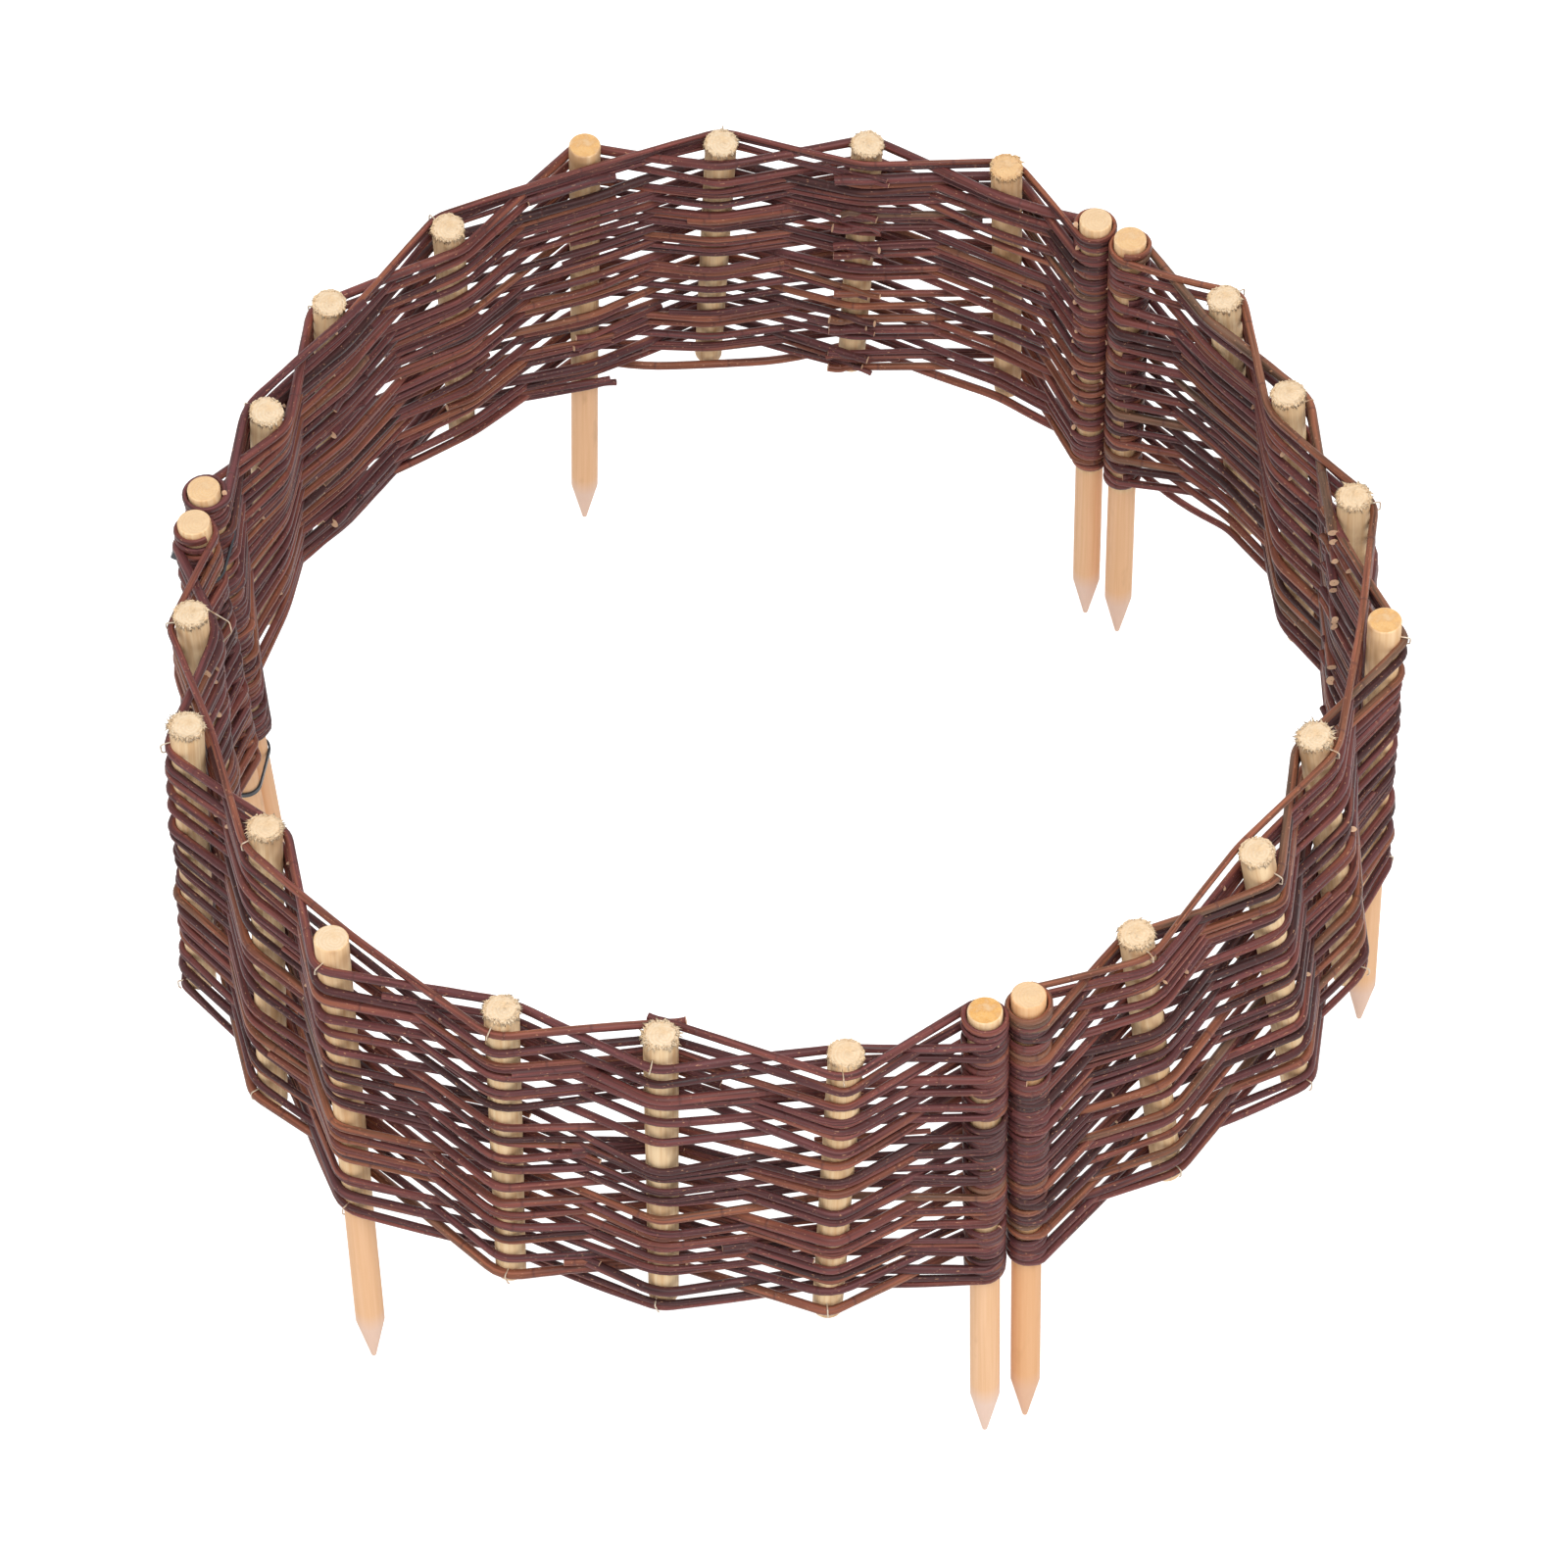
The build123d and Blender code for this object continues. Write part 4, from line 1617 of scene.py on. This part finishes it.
@dataclass(frozen=True)
class Staples:
    """Wire staples over a panel's top and bottom rods, driven into its short stakes."""

    radius: float = 0.40 * MM
    stand_off: float = 0.30 * MM
    leg_out: float = 1.4 * MM
    bite: float = 0.5 * MM
    over_rod: float = 0.1 * MM
    hook_back: float = 1.0 * MM
    crown_height: float = 0.9
    aside: float = 2.5 * MM
    skew: float = 0.8
    bend: float = 1.2 * MM
    bend_steps: int = 4
    run_steps: int = 1
    rust_reach: float = 9.0
    seed_step: int = 500
    sides: int = 7
    loose_side: PanelSide = PanelSide.LEFT
    loose_stake: int = 1
    loose_corners: tuple[Triple, ...] = (
        (9.0 * MM, 9.0 * MM, 330 * MM),
        (18.5 * MM, 2.0 * MM, 329 * MM),
        (19.5 * MM, -2.0 * MM, 326 * MM),
        (14.5 * MM, -2.0 * MM, 319 * MM),
    )

    def wire(self, draft: MeshDraft, corners: Array, seed: float) -> None:
        """Adds one bent wire.

        Args:
            draft: the piece that gets it.
            corners: (n, 3) corners of its line.
            seed: moves its rust away from the others'.
        """
        trims = np.full(len(corners), self.bend)
        line = rounded_route(corners, trims, self.bend_steps, self.run_steps)
        thick = np.full(len(line), self.radius)
        tube(draft, line, thick, thick, self.sides, 0.5, seed, 0)

    def build(self, panel: WovenPanel, material: bpy.types.Material) -> bpy.types.Object:
        """Builds the staples of one panel.

        Each runs from the stake, out and over the outer rod and back to the stake; the
        lowest ones end in a nib below the rod. One is bent and has come loose.

        Args:
            panel: the panel.
            material: the wire.

        Returns:
            The new piece.
        """
        chance = np.random.default_rng(panel.seed + self.seed_step)
        draft = MeshDraft(f"{panel.side.value}_staples")
        rod = panel.weave.rod_radius
        for stake in range(1, panel.last):
            for top in (True, False):
                lowest = panel.weave.courses - 2 if top else 0
                course = lowest + (lowest + stake) % 2
                height = panel.height(course, stake)
                out = np.append(panel.outward(stake, height), 0.0)
                around = np.array([-out[1], out[0], 0.0]) * chance.uniform(-self.aside, self.aside)
                middle = np.append(panel.lines[stake].at(height), height) + around
                wood = float(panel.stakes.radius(height)) - self.bite
                crown = wood + self.bite + 2 * rod + self.stand_off
                rise = UP * (rod + self.radius + self.over_rod)
                skew = around * chance.uniform(-self.skew, self.skew)
                back = out * (wood if top else crown - self.hook_back)
                nib = UP * (0.0 if top else -self.leg_out)
                corners = [
                    middle + out * wood + rise,
                    middle + out * crown + rise * self.crown_height,
                    middle + out * crown - rise * self.crown_height + skew,
                    middle + back - rise + skew + nib,
                ]
                self.wire(draft, np.array(corners), float(chance.uniform(0, self.rust_reach)))
        if panel.side is self.loose_side:
            bent = np.array(self.loose_corners)
            bent[:, :2] += panel.lines[self.loose_stake].at(bent[:, 2])
            self.wire(draft, bent, 0.0)
        piece = draft.finish([material])
        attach(piece, "root")
        return piece


@dataclass(frozen=True)
class PhotoView:
    """The camera as it stood for the photograph."""

    elevation: float = 52.03
    roll: float = 2.51
    distance: float = 2.9957
    focal_pixels: float = 5802.6
    picture_pixels: float = 1600.0
    sensor_width: float = 36.0
    farthest: float = 50.0
    target: Triple = (0.00027, -0.01874, 0.170)

    def build(self) -> bpy.types.Object:
        """Places the camera on the -Y side, looking down at the ring.

        Returns:
            The camera.
        """
        lean = np.radians(self.elevation)
        roll = np.radians(self.roll)
        forward = np.array([0.0, np.cos(lean), -np.sin(lean)])
        up = np.array([0.0, np.sin(lean), np.cos(lean)])
        right = np.array([1.0, 0.0, 0.0])
        turned_right = np.cos(roll) * right - np.sin(roll) * up
        turned_up = np.sin(roll) * right + np.cos(roll) * up
        data = bpy.data.cameras.new("photo_view")
        data.sensor_width = self.sensor_width
        data.lens = self.focal_pixels / self.picture_pixels * data.sensor_width
        data.clip_end = self.farthest
        camera = bpy.data.objects.new("photo_view", data)
        place = np.array(self.target) - forward * self.distance
        matrix = np.eye(4)
        matrix[:3, 0] = turned_right
        matrix[:3, 1] = turned_up
        matrix[:3, 2] = -forward
        matrix[:3, 3] = place
        camera.matrix_world = matrix.T.tolist()
        bpy.context.scene.collection.objects.link(camera)
        bpy.context.scene.camera = camera
        return camera


@dataclass(frozen=True)
class Studio:
    """The pale floor, the soft key lamp and the even sky of the studio."""

    floor_half: float = 4.0
    floor_white: float = 0.80
    floor_glow: float = 0.60
    floor_roughness: float = 0.9
    sky: float = 0.82
    key_watts: float = 54.0
    key_size: float = 1.6
    key_place: Triple = (0.3, -1.2, 3.0)
    lamp_target: Triple = (0.0, 0.0, 0.15)

    def floor(self) -> bpy.types.Object:
        """Builds the floor: white, lifted for what the camera and reflections see.

        Returns:
            The floor.
        """
        half = self.floor_half
        mesh = bpy.data.meshes.new("studio_floor")
        corners = [(-half, -half, 0), (half, -half, 0), (half, half, 0), (-half, half, 0)]
        mesh.from_pydata(corners, [], [(0, 1, 2, 3)])
        material, tools, shader = new_material("floor_white")
        white = (self.floor_white, self.floor_white, self.floor_white, 1.0)
        shader.inputs["Base Color"].default_value = white
        shader.inputs["Roughness"].default_value = self.floor_roughness
        shader.inputs["Specular IOR Level"].default_value = 0.0
        shader.inputs["Emission Color"].default_value = (1.0, 1.0, 1.0, 1.0)
        glow = tools.maths("MULTIPLY", tools.seen(), self.floor_glow)
        tools.join(glow, shader.inputs["Emission Strength"])
        mesh.materials.append(material)
        floor = bpy.data.objects.new("studio_floor", mesh)
        bpy.context.scene.collection.objects.link(floor)
        return floor

    def world(self) -> None:
        """Lights the scene evenly and shows white where a ray meets no piece."""
        world = bpy.data.worlds.new("studio_sky")
        world.use_nodes = True
        bpy.context.scene.world = world
        tools = NodeTools(world.node_tree)
        background = world.node_tree.nodes["Background"]
        background.inputs["Color"].default_value = (1.0, 1.0, 1.0, 1.0)
        strength = tools.spread(tools.seen(), 0.0, 1.0, self.sky, 1.0)
        tools.join(strength, background.inputs["Strength"])

    def lamp(self, name: str, watts: float, size: float, place: Triple) -> None:
        """Adds one soft square lamp that faces the ring.

        Args:
            name: the lamp's name.
            watts: its power.
            size: its side in metres.
            place: where it hangs.
        """
        data = bpy.data.lights.new(name, "AREA")
        data.energy = watts
        data.size = size
        lamp = bpy.data.objects.new(name, data)
        way = -unit(np.array(place) - np.array(self.lamp_target))
        side = unit(np.cross(way, AHEAD))
        matrix = np.eye(4)
        matrix[:3, 0] = side
        matrix[:3, 1] = np.cross(side, way)
        matrix[:3, 2] = -way
        matrix[:3, 3] = place
        lamp.matrix_world = matrix.T.tolist()
        bpy.context.scene.collection.objects.link(lamp)

    def build(self) -> None:
        """Builds the floor, the sky and the key lamp."""
        self.floor()
        self.world()
        self.lamp("key_lamp", self.key_watts, self.key_size, self.key_place)


LOW_RUN = RodRun(-1, 4, 8, RodTail.CUT, RodTail.WOUND)
PLANS = {
    PanelSide.RIGHT: PanelPlan(
        splices={2: 0.18, 5: 0.55},
        partings=((0, 308 * MM, 6 * MM), (1, 274 * MM, 5 * MM), (2, 217 * MM, 5 * MM)),
        fillers=(0.0, 0.3, 0.3, 0.35, 0.35, 0.65, 0.65, 0.65, 0.0),
    ),
    PanelSide.BACK: PanelPlan(
        splices={2: 0.4, 4: 0.25, 6: 0.45},
        partings=((7, 300 * MM, 5 * MM), (2, 250 * MM, 4 * MM)),
        fillers=(0.0, 0.3, 0.5, 0.4, 0.6, 0.7, 0.75, 0.75, 0.0),
        low_runs=(LOW_RUN, LOW_RUN),
        butts=((30, 4), (22, 3)),
    ),
    PanelSide.LEFT: PanelPlan(
        splices={2: 0.3, 4: 0.15, 6: 0.15},
        partings=(
            (6, 267 * MM, 21 * MM),
            (5, 252 * MM, 6 * MM),
            (7, 274 * MM, 4 * MM),
            (8, 258 * MM, 5 * MM),
            (8, 222 * MM, 4 * MM),
            (8, 182 * MM, 4 * MM),
        ),
        fillers=(0.0, 0.35, 0.3, 0.3, 0.3, 0.3, 0.25, 0.3, 0.0),
        butts=((28, 1), (30, 1)),
    ),
}
HEARTWOOD = {
    "left_stake_9": 1.0,
    "right_stake_5": 0.85,
    "back_stake_5": 0.85,
    "back_stake_2": 0.6,
    "right_stake_9": 0.6,
    "back_stake_9": 0.5,
    "right_stake_1": 0.4,
    "left_stake_1": 0.35,
    "back_stake_1": 0.3,
}
LEG_WARMTH = {
    "right_stake_1": 1.35,
    "left_stake_5": 0.5,
    "right_stake_9": 0.5,
    "left_stake_9": 0.2,
    "right_stake_5": 0.5,
    "back_stake_5": 0.4,
    "back_stake_2": 0.6,
    "back_stake_9": 0.4,
    "left_stake_1": 0.35,
    "back_stake_1": 0.3,
}
FAINT_HEART = 0.04
PANEL_STAKES = 9
PANEL_SEED = 7
STAKE_SEED = 40


def main() -> None:
    """Builds the ring's looks, panel by panel, and the studio round it."""
    logging.basicConfig(level=logging.INFO)
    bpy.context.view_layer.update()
    sizes = StakeSizes()
    weave = WeaveSizes()
    bark = BarkFinish().material()
    cut_end = CutEndFinish().material()
    wood = PeeledWoodFinish().material()
    sawn = SawnTopFinish().material()
    nylon = TieNylonFinish().material()
    zinc = WireFinish().material()
    ends: dict[str, StakeLine] = {}
    for order, side in enumerate(PanelSide):
        lines = []
        for number in range(PANEL_STAKES):
            node = f"{side.value}_stake_{number + 1}"
            long = number in sizes.long_numbers
            lines.append(stake_line(node, sizes, long))
            tone = HEARTWOOD.get(node, FAINT_HEART * ((number * 7 + order * 3) % 4))
            warmth = LEG_WARMTH.get(node, tone)
            seed = STAKE_SEED + order * PANEL_STAKES + number
            stake = TurnedStake(node, lines[-1], sizes, long, tone, warmth, seed)
            LOG.info("stake %s", stake.build([wood, sawn]).name)
        ends[f"{side.value}_first"], ends[f"{side.value}_last"] = lines[0], lines[-1]
        panel = WovenPanel(side, lines, sizes, weave, PLANS[side], PANEL_SEED + order)
        for piece in panel.build([bark, cut_end]):
            LOG.info("rods %s, %d faces", piece.name, len(piece.data.polygons))
        LOG.info("staples %s", Staples().build(panel, zinc).name)
    tie = CableTie()
    wrapped = float(sizes.radius(tie.height)) + 2 * weave.wrap_half_out + weave.wrap_gap
    LOG.info("tie %s", tie.build(ends["left_first"], ends["back_last"], wrapped, nylon).name)
    lower_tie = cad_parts["lower_cable_tie"]
    lower_tie.data.materials.clear()
    lower_tie.data.materials.append(nylon)
    PhotoView().build()
    Studio().build()
    bpy.context.scene.view_settings.view_transform = "Standard"


if __name__ == "__main__":
    main()
